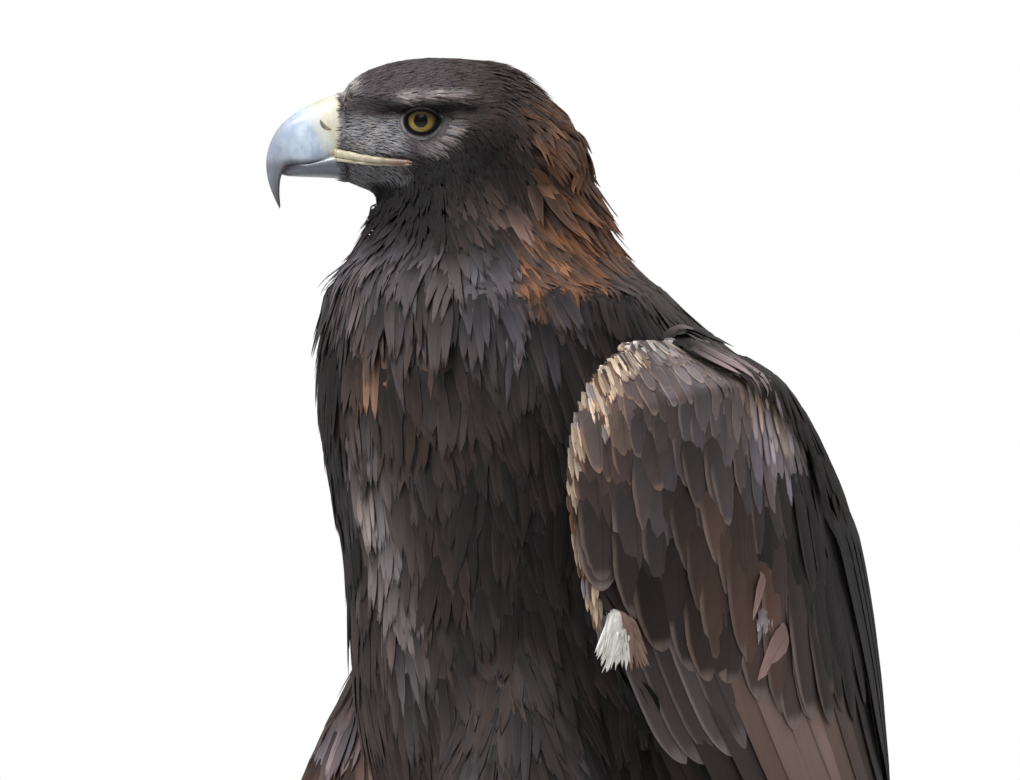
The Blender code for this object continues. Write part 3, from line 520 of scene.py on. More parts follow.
class Skin:
    """The skin's surface for planting: nearest points, normals, places on the unwrap, and even samples."""

    def __init__(self, obj):
        mesh = obj.data
        mesh.calc_loop_triangles()
        self.points = values_of(mesh.vertices, "co", 3).astype(float) - np.array(SHIFT)
        self.normals = values_of(mesh.vertices, "normal", 3).astype(float)
        self.triangles = values_of(mesh.loop_triangles, "vertices", 3, np.int32)
        loops = values_of(mesh.loop_triangles, "loops", 3, np.int32)
        self.uv = values_of(mesh.uv_layers["OFBake"].data, "uv", 2)[loops]
        self.tree = BVHTree.FromPolygons(self.points.tolist(), self.triangles.tolist())

    def snap(self, points):
        """The nearest points on the skin, their smooth normals and their triangles."""
        near = np.empty_like(points)
        index = np.empty(len(points), int)
        for k, p in enumerate(points):
            near[k], _, index[k], _ = self.tree.find_nearest(p)
        corner = self.triangles[index]
        shares = self.shares(near, index)
        normals = unit((self.normals[corner] * shares[:, :, None]).sum(1))
        return near, normals, index

    def shares(self, points, index):
        """How much each corner of its triangle counts at each point."""
        a, b, c = (self.points[self.triangles[index][:, k]] for k in range(3))
        v0, v1, v2 = b - a, c - a, points - a
        d00, d01, d11 = (v0 * v0).sum(1), (v0 * v1).sum(1), (v1 * v1).sum(1)
        d20, d21 = (v2 * v0).sum(1), (v2 * v1).sum(1)
        span = np.maximum(d00 * d11 - d01 * d01, 1e-18)
        v, w = (d11 * d20 - d01 * d21) / span, (d00 * d21 - d01 * d20) / span
        return np.stack((1 - v - w, v, w), 1)

    def unwrapped(self, points):
        near, _, index = self.snap(points)
        return (self.uv[index] * self.shares(near, index)[:, :, None]).sum(1)

    def scatter(self, wanted, spacing, seed):
        """Even random roots where wanted(points) is true. spacing(points) is the least distance in metres."""
        a, b, c = (self.points[self.triangles[:, k]] for k in range(3))
        middle = (a + b + c) / 3
        faces = np.flatnonzero(wanted(middle))
        area = np.linalg.norm(np.cross(b[faces] - a[faces], c[faces] - a[faces]), axis=1) / 2
        chance = area / spacing(middle[faces]) ** 2
        tries = int(TRIES * chance.sum()) + 1
        draw = np.random.default_rng(seed)
        picked = faces[draw.choice(len(faces), tries, p=chance / chance.sum())]
        r1, r2 = np.sqrt(draw.random(tries)), draw.random(tries)
        weights = (1 - r1, r1 * (1 - r2), r1 * r2)
        points = sum(corner[picked] * weight[:, None] for corner, weight in zip((a, b, c), weights))
        gaps = spacing(points)
        taken, roots = {}, []

        def crowded(k, x, y, z):
            for dx, dy, dz in itertools.product((-1, 0, 1), repeat=3):
                for other in taken.get((x + dx, y + dy, z + dz), ()):
                    d = points[other] - points[k]
                    if d[0] * d[0] + d[1] * d[1] + d[2] * d[2] < gaps[k] * gaps[k]:
                        return True
            return False

        for k, cell in enumerate(np.floor(points / gaps.max()).astype(int).tolist()):
            if not crowded(k, *cell):
                taken.setdefault(tuple(cell), []).append(k)
                roots.append(k)
        return points[roots]


def head_frame(points):
    """Forward, up and left of points in the head's axes, in millimetres."""
    away = (points - np.array(HEAD_ORIGIN)) / MM
    return away @ np.array(FORWARD), away @ np.array(UP), away @ np.array(LEFT)


def neck_side(points):
    """Degrees round the neck's own axis: -90 at the throat, 0 at either side and 90 at the nape."""
    rows = np.array(NECK_SECTIONS)[::-1]
    z = points[:, 2] / MM
    x = points[:, 0] / MM - np.interp(z, rows[:, 2], rows[:, 0])
    y = points[:, 1] / MM - np.interp(z, rows[:, 2], rows[:, 1])
    turn = np.radians(np.interp(z, rows[:, 2], rows[:, 6]))
    back = x * np.sin(turn) + y * np.cos(turn)
    side = x * np.cos(turn) - y * np.sin(turn)
    return np.degrees(np.arctan2(back, np.abs(side)))


def nape_line(points):
    """How far points lie in front of the line where the head runs into the neck, in millimetres."""
    f, u, _ = head_frame(points)
    return (f + 50) * 0.56 + (u - 14) * 0.829


def on_head(points):
    """1 on the head and 0 on the neck, with a soft edge at the nape, jaw and chin."""
    return ease(nape_line(points), -9, 5)


# Where feathers point: x, y, z in millimetres on the left half, and the way they lie there.
LIE_KEYS = (
    (0, 20, 560, 0, 0.42, -0.9), (0, 42, 520, 0, 0.6, -0.8), (0, 75, 492, 0, 0.68, -0.73),
    (30, -20, 560, 0.34, 0.5, -0.8), (44, -5, 535, 0.32, 0.52, -0.8), (60, 12, 512, 0.3, 0.6, -0.74),
    (55, 45, 492, 0.2, 0.8, -0.55), (40, 100, 455, 0.1, 0.6, -0.78), (30, 135, 410, 0.05, 0.3, -0.95),
    (0, 125, 430, 0, 0.28, -0.96), (0, 138, 340, 0, 0.05, -1), (0, 120, 270, 0, 0.4, -0.9),
    (-20, -80, 545, 0, -0.05, -1), (36, -30, 552, 0.12, 0.22, -0.97), (58, -12, 530, 0.22, 0.3, -0.93),
    (66, -38, 515, 0.12, 0.16, -0.98), (14, 26, 575, 0.12, 0.7, -0.7), (30, 8, 580, 0.2, 0.6, -0.75),
    (78, -10, 508, 0.3, 0.25, -0.92), (30, -85, 520, 0.1, -0.1, -0.98), (0, -102, 480, 0, 0, -1),
    (60, -80, 470, 0.06, 0.1, -1), (40, -85, 420, 0, 0.06, -1), (0, -92, 380, 0, 0.05, -1),
    (88, -20, 420, 0, 0.22, -0.97), (80, -30, 340, 0, 0.2, -0.97), (0, -88, 320, 0, 0.15, -1),
    (0, -40, 262, 0, 0.6, -0.8), (0, 40, 228, 0, 0.92, -0.4), (54, -90, 285, 0, 0.12, -1),
    (98, -45, 280, 0, 0.28, -0.96), (56, 5, 262, 0, 0.5, -0.86), (92, -20, 210, 0, 0.42, -0.9),
    (61, -50, 200, 0, 0.3, -0.95), (62, 40, 170, 0, 0.35, -0.94), (62, 20, 120, 0, 0.1, -1),
    (62, 30, 90, 0, -0.2, -0.98), (62, 15, 40, 0, -0.2, -0.98),
)


def lie_of(points):
    """The direction that feathers lie in at each point, before it is laid on the skin."""
    side = np.where(points[:, :1] < 0, -1.0, 1.0)
    folded = points / MM * np.concatenate((side, np.ones_like(side), np.ones_like(side)), 1)
    total = np.zeros_like(points)
    for key in np.array(LIE_KEYS, float):
        away = ((folded - key[:3]) ** 2).sum(1) + 60.0
        total += key[3:] / away[:, None] ** 1.6
    body = unit(total)
    body[:, :1] *= side
    f, u, _ = head_frame(points)
    fall = 0.08 + 0.75 * ease(-f, 22, 70) + 0.3 * ease(-u, 4, 34)
    head = -np.array(FORWARD)[None, :] - np.array(UP)[None, :] * fall[:, None]
    near = np.exp(-(f**2 + u**2) / 13.0**2) * 0.9 * ease(u, 3, -3)
    push = np.stack((f, u), 1) / np.maximum(np.hypot(f, u), 1)[:, None] * near[:, None]
    head += push[:, :1] * np.array(FORWARD) + push[:, 1:2] * np.array(UP)
    share = on_head(points)[:, None]
    return unit(unit(head) * share + body * (1 - share))


def resample(values, places):
    """values, (count, rows, 3), read at places, (count or 1, new rows), given as shares of the rows."""
    at = np.clip(places, 0, 1) * (values.shape[1] - 1)
    low = np.minimum(at.astype(int), values.shape[1] - 2)
    part = (at - low)[:, :, None]
    index = np.broadcast_to(np.arange(len(values))[:, None], (len(values), low.shape[1]))
    low = np.broadcast_to(low, index.shape)
    return values[index, low] * (1 - part) + values[index, low + 1] * part


def split_blades(spine, normals, width, count, part, draw):
    """Each feather as narrow blades side by side that grow from one root and part towards the tip."""
    lie = unit(np.gradient(spine, axis=1))
    side = unit(np.cross(normals, lie))
    shares = np.linspace(0, 1, spine.shape[1])
    feathers = len(spine)
    spines, ups, widths = [], [], []
    for k in range(count):
        middle = (k + 0.5) / count - 0.5
        place = middle + draw.normal(0, 0.10, feathers)
        reach = 1.0 - 0.5 * np.abs(place) - draw.random(feathers) * 0.18
        at = shares[None, :] * reach[:, None]
        fan = np.sin(np.clip(at / 0.4, 0, 1) * math.pi / 2) * (1 + part * at)
        shift = (place * width)[:, None] * fan
        up = resample(normals, at)
        lift = (-0.22 * np.abs(place) * width)[:, None] + draw.normal(0, 0.25 * MM, feathers)[:, None] * at
        spines.append(resample(spine, at) + resample(side, at) * shift[:, :, None] + up * lift[:, :, None])
        ups.append(up)
        widths.append(width * (1.55 / count))
    return np.concatenate(spines), np.concatenate(ups), np.concatenate(widths)


class Plumes:
    """Feathers of one kind, gathered as spines, and then made into one mesh of thin closed solids."""

    def __init__(self, rows, top=3, under=1, close=1.0):
        """rows cross the feather, each with top points above and under points below, closer together at the tip."""
        even = np.linspace(0, 1, rows)
        self.shares = even * (1 - close) + np.sin(even * math.pi / 2) * close
        self.top, self.under = top, under
        self.looks = []

    def add(self, spine, normals, width, outline, heights, tilt, thickness, camber, colours, ragged=0.0):
        """spine and normals are (count, rows, 3), or (rows, 3) for one feather. heights, in millimetres, lift the
        root, the middle and the tip off the surface. colours are the root's, the tip's and the rim's, each
        (count, 3), and the rim's share. thickness is in millimetres too and width in metres."""
        spine, normals = np.asarray(spine, float), np.asarray(normals, float)
        if spine.ndim == 2:
            spine, normals, colours = spine[None], normals[None], tuple(np.array([c]) for c in colours)
        self.looks.append((spine, normals, width, outline, heights, tilt, thickness, camber, colours, ragged))

    def solids(self, look, draw):
        spine, normals, width, outline, heights, tilt, thickness, camber, _, ragged = look
        shares, count = self.shares, len(spine)
        spine, normals = resample(spine, shares[None, :]), unit(resample(normals, shares[None, :]))
        lie = unit(np.gradient(spine, axis=1))
        side = unit(np.cross(normals, lie))
        up = unit(np.cross(lie, side))
        turn = (np.broadcast_to(tilt, count) + draw.normal(0, 0.05, count))[:, None, None]
        side, up = side * np.cos(turn) + up * np.sin(turn), up * np.cos(turn) - side * np.sin(turn)
        root, body, tip = (np.broadcast_to(h, count)[:, None] * MM for h in heights)
        rise = np.clip(shares / 0.22, 0, 1)[None, :]
        height = root * (1 - rise) + body * rise + (tip - body) * shares[None, :] * rise
        middle = spine + normals * height[:, :, None]
        wide = np.broadcast_to(width, count)[:, None] * outline(shares)[None, :] / 2
        wide = (wide * (1 + ragged * draw.normal(0, 1, wide.shape)))[:, :, None]
        thick = thickness * MM * (1 - 0.5 * shares)[None, :, None] / 2
        over, ring = self.over(), []
        for k, x in enumerate(over):
            lift = -thick if k >= self.top else (0.0 if k in (0, self.top - 1) else thick)
            ring.append(middle + side * (wide * x) + up * (camber * wide * (1 - x * x) + lift))
        return np.stack(ring, 2)

    def over(self):
        """Where a row's points lie across the feather, from 1 to -1 above and back again below."""
        above = [math.cos(math.pi * k / (self.top - 1)) for k in range(self.top)]
        return above + [math.cos(math.pi * k / (self.under + 1)) for k in range(self.under, 0, -1)]

    def corners(self, count, flip):
        """The corners of all faces in a row, and each face's number of corners."""
        rows, sides = len(self.shares), self.top + self.under
        corners = []
        for r in range(rows - 1):
            for k in range(sides):
                n = (k + 1) % sides
                corners += [r * sides + k, (r + 1) * sides + k, (r + 1) * sides + n, r * sides + n]
        corners += list(range(sides)) + [(rows - 1) * sides + k for k in reversed(range(sides))]
        corners, sizes = np.array(corners), np.array([4] * ((rows - 1) * sides) + [sides, sides])
        if flip:
            corners = np.concatenate([corners[e - s : e][::-1] for e, s in zip(np.cumsum(sizes), sizes)])
        every = corners[None, :] + (np.arange(count) * rows * sides)[:, None]
        return every.ravel(), np.tile(sizes, count)

    def build(self, name, skin, seed, flip=False):
        draw = np.random.default_rng(seed)
        points = np.concatenate([self.solids(look, draw) for look in self.looks])
        roots = np.concatenate([look[0][:, 0] for look in self.looks])
        paints = [(look[8], len(look[0])) for look in self.looks]
        root, tip, rim = (np.concatenate([np.broadcast_to(p[k], (n, 3)) for p, n in paints]) for k in range(3))
        share = np.concatenate([np.broadcast_to(p[3], n) for p, n in paints])
        rows, sides, count = len(self.shares), self.top + self.under, len(points)
        each = rows * sides
        if flip:
            points, roots = points * np.array((-1.0, 1.0, 1.0)), roots * np.array((-1.0, 1.0, 1.0))
        corners, sizes = self.corners(count, flip)
        mesh = bpy.data.meshes.new(name)
        mesh.vertices.add(count * each)
        mesh.vertices.foreach_set("co", (points.reshape(-1, 3) + np.array(SHIFT)).astype(np.float32).ravel())
        mesh.loops.add(len(corners))
        mesh.loops.foreach_set("vertex_index", corners.astype(np.int32))
        mesh.polygons.add(len(sizes))
        mesh.polygons.foreach_set("loop_start", (np.cumsum(sizes) - sizes).astype(np.int32))
        mesh.update(calc_edges=True)
        mesh.shade_smooth()
        place = values_of(mesh.edges, "vertices", 2, np.int32) % sides
        sharp = (place[:, 0] == place[:, 1]) & np.isin(place[:, 0], (0, self.top - 1))
        mesh.attributes.new("sharp_edge", "BOOLEAN", "EDGE").data.foreach_set("value", sharp)
        across = np.tile([0.5 + 0.5 * x for x in self.over()], count * rows)
        along = np.tile(np.repeat(self.shares, sides), count)
        fade = ease(along, 0.1, 0.95)[:, None]
        tint = np.repeat(root, each, 0) * (1 - fade) + np.repeat(tip, each, 0) * fade
        mark(mesh, "tint", np.column_stack((tint, np.repeat(draw.random(count), each))))
        mark(mesh, "rim", np.column_stack((np.repeat(rim, each, 0), np.repeat(share, each))))
        spot = np.repeat(skin.unwrapped(roots), each, 0) + np.column_stack((across - 0.5, along - 0.5)) * 0.003
        for title, uv in (("OFBake", spot), ("vane", np.column_stack((across, along)))):
            layer = mesh.uv_layers.new(name=title)
            layer.data.foreach_set("uv", uv[corners].astype(np.float32).ravel())
        return put_in_scene(name, mesh)


def mark(mesh, name, values):
    """Keeps a colour with its alpha for each point of the mesh."""
    mesh.attributes.new(name, "FLOAT_COLOR", "POINT").data.foreach_set("color", values.astype(np.float32).ravel())


def leaf(root, full, taper, blunt, point=0.75):
    """A feather's outline by the share of its length: its width at the root, where it is full, where it begins
    to taper, how long it stays full, and its point, from round at 0.5 to sharp at 1."""

    def outline(shares):
        grow = root + (1 - root) * np.sin(np.clip(shares / full, 0, 1) * math.pi / 2)
        end = np.clip((shares - taper) / (1 - taper), 0, 1)
        return grow * np.maximum((1 - end**blunt) ** point, 0.04)

    return outline


def walk(skin, roots, lengths, rows, turn, seed):
    """Spines and normals that start at roots and run along the skin, the way feathers lie there."""
    draw = np.random.default_rng(seed)
    here, normal, _ = skin.snap(roots)
    yaw = draw.normal(0, turn, len(roots))[:, None]
    spine, normals = [here], [normal]
    for _ in range(rows - 1):
        lie = lie_of(here)
        lie = unit(lie - normal * (lie * normal).sum(1, keepdims=True))
        lie = lie * np.cos(yaw) + np.cross(normal, lie) * np.sin(yaw)
        ahead = here + lie * (lengths / (rows - 1))[:, None]
        here, normal, _ = skin.snap(ahead)
        normal = unit(normal + normals[-1])
        spine.append(here)
        normals.append(normal)
    return np.stack(spine, 1), np.stack(normals, 1)


def trail(surface, along, across, length, rows, heading=0.0):
    """One spine and its normals on a wing's or the tail's surface. length is in millimetres."""
    spine, normals = [], []
    step = length * MM / (rows - 1)
    for _ in range(rows):
        here, _, _, normal, per_along, per_across = frame_on(surface, along, across)
        spine.append(here)
        normals.append(normal)
        along += step * math.cos(heading) / per_along
        across += step * math.sin(heading) / per_across
    return spine, normals


def hang(surface, along, across, length, rows, way):
    """One spine and its normals, hanging in the direction way over a surface, and where it ends there.
    Where that would leave the surface it runs straight along it instead. length is in millimetres."""
    spine, normals = [], []
    start = along, across
    step, small = length * MM / (rows - 1), 0.004
    for _ in range(rows):
        down = (surface(along + small, across) - surface(along - small, across)) / (2 * small)
        over = (surface(along, across + small) - surface(along, across - small)) / (2 * small)
        normal = down.cross(over).normalized()
        spine.append(surface(along, across))
        normals.append(normal)
        aim = (way - normal * way.dot(normal)).normalized() * step
        dd, mixed, oo = down.dot(down), down.dot(over), over.dot(over)
        span = dd * oo - mixed * mixed
        if span < 1e-6 or abs(across - 0.5) > 0.59 or abs(along - start[0]) > 0.5:
            return *trail(surface, *start, length, rows), (start[0] + length * MM / 0.42, start[1])
        along += (aim.dot(down) * oo - aim.dot(over) * mixed) / span
        across += (aim.dot(over) * dd - aim.dot(down) * mixed) / span
    return spine, normals, (along, across)


# Plumage colours.

BLACKISH = paint(20, 17, 17)
DARK = paint(34, 29, 28)
UMBER = paint(58, 49, 47)
BROWN = paint(84, 63, 53)
SHEEN = paint(106, 98, 102)
SLATE = paint(76, 69, 72)
GOLD = paint(138, 92, 61)
GOLD_PALE = paint(186, 132, 88)
GOLD_DEEP = paint(56, 37, 29)
RUFOUS = paint(104, 75, 59)
TAN = paint(150, 112, 88)
PALE = paint(140, 132, 133)
WHITE = paint(204, 199, 198)
CREAM = paint(208, 184, 158)
ASH = paint(146, 145, 147)
# The next two colours are painted light: a lilac sheen and pink glints.
LILAC_SHEEN = paint(122, 114, 124)
PINK_GLINT = paint(178, 146, 141)
DOWN = paint(244, 241, 236)
SHANK = paint(150, 120, 92)
QUILL = (0.016, 0.012, 0.011)  # as linear light

# Patches of other colours, some of them painted light: place, reach in millimetres, colour and strength.
PATCHES = (
    ((7, -98, 504), (5, 30, 10), TAN * 0.75, 0.8), ((15, -100, 494), (4, 30, 8), TAN, 0.75),
    # The pale patches down the breast's front: pale ruffled feathers, brightened as painted light where the sun
    # falls.
    ((38, -93, 504), (6, 30, 8), TAN * 0.7, 0.65), ((3, -98, 446), (11, 40, 22), PALE, 0.8),
    # The sheen patch on the breast is a painted sheen.
    ((9, -96, 414), (10, 40, 20), PALE, 0.7), ((-2, -98, 470), (10, 30, 10), SHEEN, 0.5),
    # The far thigh's tan: the legs' own tan, brightened as painted light.
    ((16, -92, 384), (8, 40, 20), PALE * 0.8, 0.6), ((-56, -86, 300), (44, 50, 44), TAN * 0.85, 0.8),
    ((60, -86, 256), (36, 50, 32), TAN * 0.7, 0.7),
    # The lilac patch on the far thigh: a painted highlight.
    ((-50, -76, 344), (14, 24, 8), LILAC_SHEEN * 1.5, 0.9), ((92, -30, 300), (20, 40, 30), SLATE, 0.5),
    ((70, -60, 330), (22, 40, 26), SLATE, 0.35), ((40, -85, 340), (16, 40, 22), SLATE, 0.4),
    ((24, -73, 505), (22, 30, 22), DARK * 0.8, 0.55), ((27, -40, 553), (13, 16, 9), RUFOUS + PALE * 0.3, 0.7),
)
# Where gold begins round the neck, in degrees from its side, by height.
GOLD_FRONT = ((500, -30), (515, -27), (528, -19), (545, 12), (560, 38), (575, 50), (600, 52))


def blend(colours, other, share):
    share = np.asarray(share, float)[:, None]
    return colours * (1 - share) + other * share


def gold_share(points, edge=9.0):
    """1 where golden hackles grow on nape and neck, and 0 outside."""
    z = points[:, 2] / MM
    side = neck_side(points)
    limit = np.interp(z, [row[0] for row in GOLD_FRONT], [row[1] for row in GOLD_FRONT])
    lowest = 519 + 13 * ease(side, 5, 40)
    return ease(side, limit - edge, limit + edge) * ease(z, lowest - 4, lowest + 4) * (1 - on_head(points))


def plumage(points):
    """Root, tip and rim colours and the rim's share, for feathers rooted at these points."""
    count = len(points)
    x, y, z = (points / MM).T
    f, u, _ = head_frame(points)
    head = on_head(points)
    side = neck_side(points)
    root, tip, rim = (np.tile(colour, (count, 1)) for colour in (BLACKISH, UMBER, SLATE))
    share = np.full(count, 0.25)
    # Grey-violet tips on the upper breast: a painted sheen.
    bust = ease(z, 494, 524) * ease(y, 0, -45) * ease(z, 556, 536)
    tip = blend(tip, SHEEN * 0.95, bust * 0.8)
    mantle = ease(y, 15, 60) * ease(z, 380, 440)
    tip = blend(tip, SLATE, mantle * 0.6)
    flank = ease(z, 500, 440) * ease(z, 360, 410) * ease(np.abs(x), 25, 60) * ease(y, 60, 0)
    tip = blend(tip, DARK, flank * 0.75)
    # Painted shade, near black, in the deep gap between the breast and the folded wing's front edge.
    inner = 66 + 12 * np.exp(-(((z - 376) / 26.0) ** 2))
    painted_gap_shade = ease(np.abs(x), inner, inner + 14) * ease(z, 480, 450) * ease(z, 235, 275) * ease(y, -75, -60)
    tip, rim = blend(tip, BLACKISH * 0.5, painted_gap_shade), blend(rim, BLACKISH * 0.5, painted_gap_shade)
    root = blend(root, BLACKISH * 0.4, painted_gap_shade)
    # The throat and neck sides under the head: dark plumage, darkened further as painted shade.
    dark_throat_and_shade = ease(z, 532, 548) * ease(side, 45, 20)
    tip, root = blend(tip, BLACKISH * 0.55, dark_throat_and_shade * 0.97), blend(root, BLACKISH * 0.5, dark_throat_and_shade)
    # The breast's far side darker: painted shade where it turns from the light.
    edge = ease(x, 6, -14) * ease(z, 530, 500) * ease(z, 380, 420)
    tip, rim = blend(tip, BLACKISH * 0.5, edge * 0.9), blend(rim, BLACKISH, edge * 0.9)
    gold = gold_share(points)
    root = blend(root, GOLD_DEEP * 0.7, gold)
    tip = blend(tip, RUFOUS * 0.8, gold)
    rim = blend(rim, GOLD, gold)
    shank = ease(z, 150, 110)
    tip = blend(tip, SHANK, shank)
    root = blend(root, TAN, shank)
    for place, reach, colour, strength in PATCHES:
        away = (((points / MM - np.array(place)) / np.array(reach)) ** 2).sum(1)
        tip = blend(tip, colour, strength * np.exp(-away))
    # The head: dark brown above and behind, a pale brow, painted shade under it round the eye, grey lores and chin,
    # and black-brown cheeks.
    face = np.tile(SLATE * 1.15, (count, 1))
    face = blend(face, UMBER * 1.25, ease(-f, -2, 26))
    face = blend(face, RUFOUS, 0.85 * ease(-f, 32, 56) * ease(u, -32, -8))
    face = blend(face, DARK * 0.8, 0.85 * ease(u, 4, -9) * ease(f, 4, -8))
    # Black-brown cheeks, darkened further as painted shade.
    face = blend(face, BLACKISH * 0.4, 0.97 * ease(u, -9, -19))
    broken = 0.62 + 0.38 * np.sin(f * 0.9 + 1.0) * np.sin(f * 0.37)
    brow = np.exp(-(((u - 9.6 + 0.05 * f) / 1.9) ** 2)) * ease(f, -20, -6) * ease(f, 19, 11)
    face = blend(face, PALE * 2.0, 0.92 * brow * broken)
    # Painted shade of the brow ridge: a dark band over the eye, and dark all round it.
    near_eye = np.exp(-((np.hypot(f + 0.5, (u + 0.8) * 1.25) / 11.5) ** 4)) * ease(u, -4.5, -1.5)
    brow_shadow = np.exp(-(((u - 4.6) / 2.8) ** 2)) * ease(f, -26, -14) * ease(f, 28, 18)
    face = blend(face, BLACKISH * 0.4, 0.95 * np.maximum(brow_shadow, near_eye))
    lores = ease(f, 7, 14) * ease(u, 3.5, -1) * ease(u, -17, -13)
    cloud = 0.75 + 0.25 * np.sin(f * 0.55) * np.sin(u * 0.6 + 1.5)
    face = blend(face, ASH * 1.3, 0.95 * lores * cloud)
    chin = ease(f, 4, 16) * ease(u, -16, -18) * np.maximum(ease(u, -28, -24), ease(f, 22, 29))
    face = blend(face, ASH * 0.75, 0.85 * chin)
    below = np.exp(-(((np.hypot(f - 1, u) - 12.0) / 2.2) ** 2)) * ease(u, 1, -4)
    face = blend(face, PALE * 1.3, 0.75 * below * ease(f, 9, -2))
    speck = np.exp(-(((f - 33) / 2.2) ** 2) - ((u - 13) / 2.6) ** 2)
    face = blend(face, WHITE, 0.9 * speck)
    tip = tip * (1 - head)[:, None] + face * head[:, None]
    root = root * (1 - head)[:, None] + face * (0.6 * head)[:, None]
    rim = blend(rim, face, head)
    share = share * (1 - head) + 0.1 * head
    return root, tip, rim, share


def varied(colours, draw, amount=0.18, hue=0.05):
    """Each feather a little lighter or darker than the next, and a little warmer or cooler."""
    root, tip, rim, share = colours
    light = np.exp(draw.normal(0, amount, len(tip)))[:, None]
    warmth = draw.normal(0, hue, len(tip))[:, None] * np.array((1.0, 0.0, -1.0))
    light = light * (1 + warmth)
    return root * light, tip * light, rim * light, share


def plant(names, skin, region, spacing, length, width, outline, heights, seed, slot, material, **more):
    """Scatters feathers over a region of the skin, as one piece for each name, split by side.
    spacing, length, width and the three heights, of root, middle and tip, are millimetres, each a number or a
    function of the roots."""

    def at(value, points):
        return value(points) if callable(value) else np.full(len(points), float(value))

    roots = skin.scatter(region, lambda points: at(spacing, points) * MM, seed)
    draw = np.random.default_rng(seed + 1)
    if len(names) == 1:
        halves = [roots]
    else:
        left = (head_frame(roots)[2] if more.get("by_head") else roots[:, 0]) >= 0
        halves = [roots[left], roots[~left]]
    for name, roots in zip(names, halves):
        count = len(roots)
        lengths = at(length, roots) * MM * np.exp(draw.normal(0, 0.12, count))
        spine, normals = walk(skin, roots, lengths, 8, more.get("turn", 0.12), seed + 2)
        colours = varied(more.get("colours", plumage)(roots), draw, more.get("varied", 0.16))
        lift = [at(h, roots) for h in heights]
        lift[2] = lift[2] * np.exp(draw.normal(0, 0.2, count))
        tilt = draw.normal(0, more.get("roll", 0.1), count)
        wide = at(width, roots) * MM * np.exp(draw.normal(0, 0.1, count))
        blades = more.get("blades", 1)
        if blades > 1:
            spine, normals, wide = split_blades(spine, normals, wide, blades, more["part"], draw)
            lift, tilt = [np.tile(h, blades) for h in lift], np.tile(tilt, blades)
            colours = varied([np.tile(c, (blades, 1)[: c.ndim]) for c in colours], draw, 0.07, 0.0)
        plumes = Plumes(more.get("rows", 6), more.get("top", 3), 0, 0.4)
        thickness, camber = more.get("thickness", 0.35), more.get("camber", 0.2)
        plumes.add(spine, normals, wide, outline, lift, tilt, thickness, camber, colours, 0.05)
        finish_piece(plumes.build(name, skin, seed + 3), [], material)


# Materials.


class Tree:
    """Writes shader nodes. A step takes sockets to link, or values to keep, and gives a socket."""

    def __init__(self, tree):
        self.nodes, self.links = tree.nodes, tree.links

    def add(self, kind, **settings):
        node = self.nodes.new("ShaderNode" + kind)
        for key, value in settings.items():
            setattr(node, key, value)
        return node

    def feed(self, socket, value):
        if isinstance(value, (int, float)):
            socket.default_value = value
        elif isinstance(value, (tuple, np.ndarray)):
            socket.default_value = (*value[:3], 1)
        else:
            self.links.new(value, socket)

    def feed_all(self, node, values):
        for socket, value in zip(node.inputs, values):
            self.feed(socket, value)
        return node.outputs[0]

    def math(self, operation, *values):
        return self.feed_all(self.add("Math", operation=operation), values)

    def times(self, a, b):
        return self.math("MULTIPLY", a, b)

    def join(self, *values):
        return self.feed_all(self.add("CombineXYZ"), values)

    def ramp(self, value, low, high, out_low=0.0, out_high=1.0):
        node = self.add("MapRange", interpolation_type="SMOOTHSTEP")
        return self.feed_all(node, (value, low, high, out_low, out_high))

    def mix(self, share, a, b, mode="MIX"):
        node = self.add("Mix", data_type="RGBA", blend_type=mode)
        for k, value in ((0, share), (6, a), (7, b)):
            self.feed(node.inputs[k], value)
        return node.outputs[2]

    def noise(self, vector, scale, detail=3.0, rough=0.55):
        node = self.add("TexNoise")
        for title, value in (("Vector", vector), ("Scale", scale), ("Detail", detail), ("Roughness", rough)):
            self.feed(node.inputs[title], value)
        return node.outputs["Fac"]

    def coords(self):
        return self.add("TexCoord").outputs["Object"]

    def read(self, name):
        """The outputs of one of the mesh's own attributes."""
        return self.add("Attribute", attribute_name=name).outputs

    def group(self, group, **values):
        node = self.add("Group", node_tree=group)
        for key, value in values.items():
            self.feed(node.inputs[key], value)
        return node.outputs

    def grain(self, scale, light, dark):
        """Cloudy mottling between two camera colours."""
        return self.group(GRAIN, Scale=scale, Light=paint(*light), Dark=paint(*dark))

    def reach_along(self, axis, origin):
        """How far a surface point lies from origin along axis, in millimetres."""
        dot = self.add("VectorMath", operation="DOT_PRODUCT")
        self.links.new(self.coords(), dot.inputs[0])
        dot.inputs[1].default_value = tuple(Vector(axis) / MM)
        place = Vector(origin) + SHIFT
        return self.math("SUBTRACT", dot.outputs["Value"], place.dot(Vector(axis)) / MM)


class Group(Tree):
    """A shader node group with named inputs and outputs."""

    def __init__(self, name, inputs, outputs):
        self.made = bpy.data.node_groups.new(name, "ShaderNodeTree")
        for direction, rows in (("INPUT", inputs), ("OUTPUT", outputs)):
            for title, kind in rows.items():
                self.made.interface.new_socket(title, in_out=direction, socket_type="NodeSocket" + kind)
        super().__init__(self.made)
        self.given = self.nodes.new("NodeGroupInput").outputs
        self.out = self.nodes.new("NodeGroupOutput").inputs

    def give(self, **values):
        for title, socket in values.items():
            self.links.new(socket, self.out[title])
        return self.made


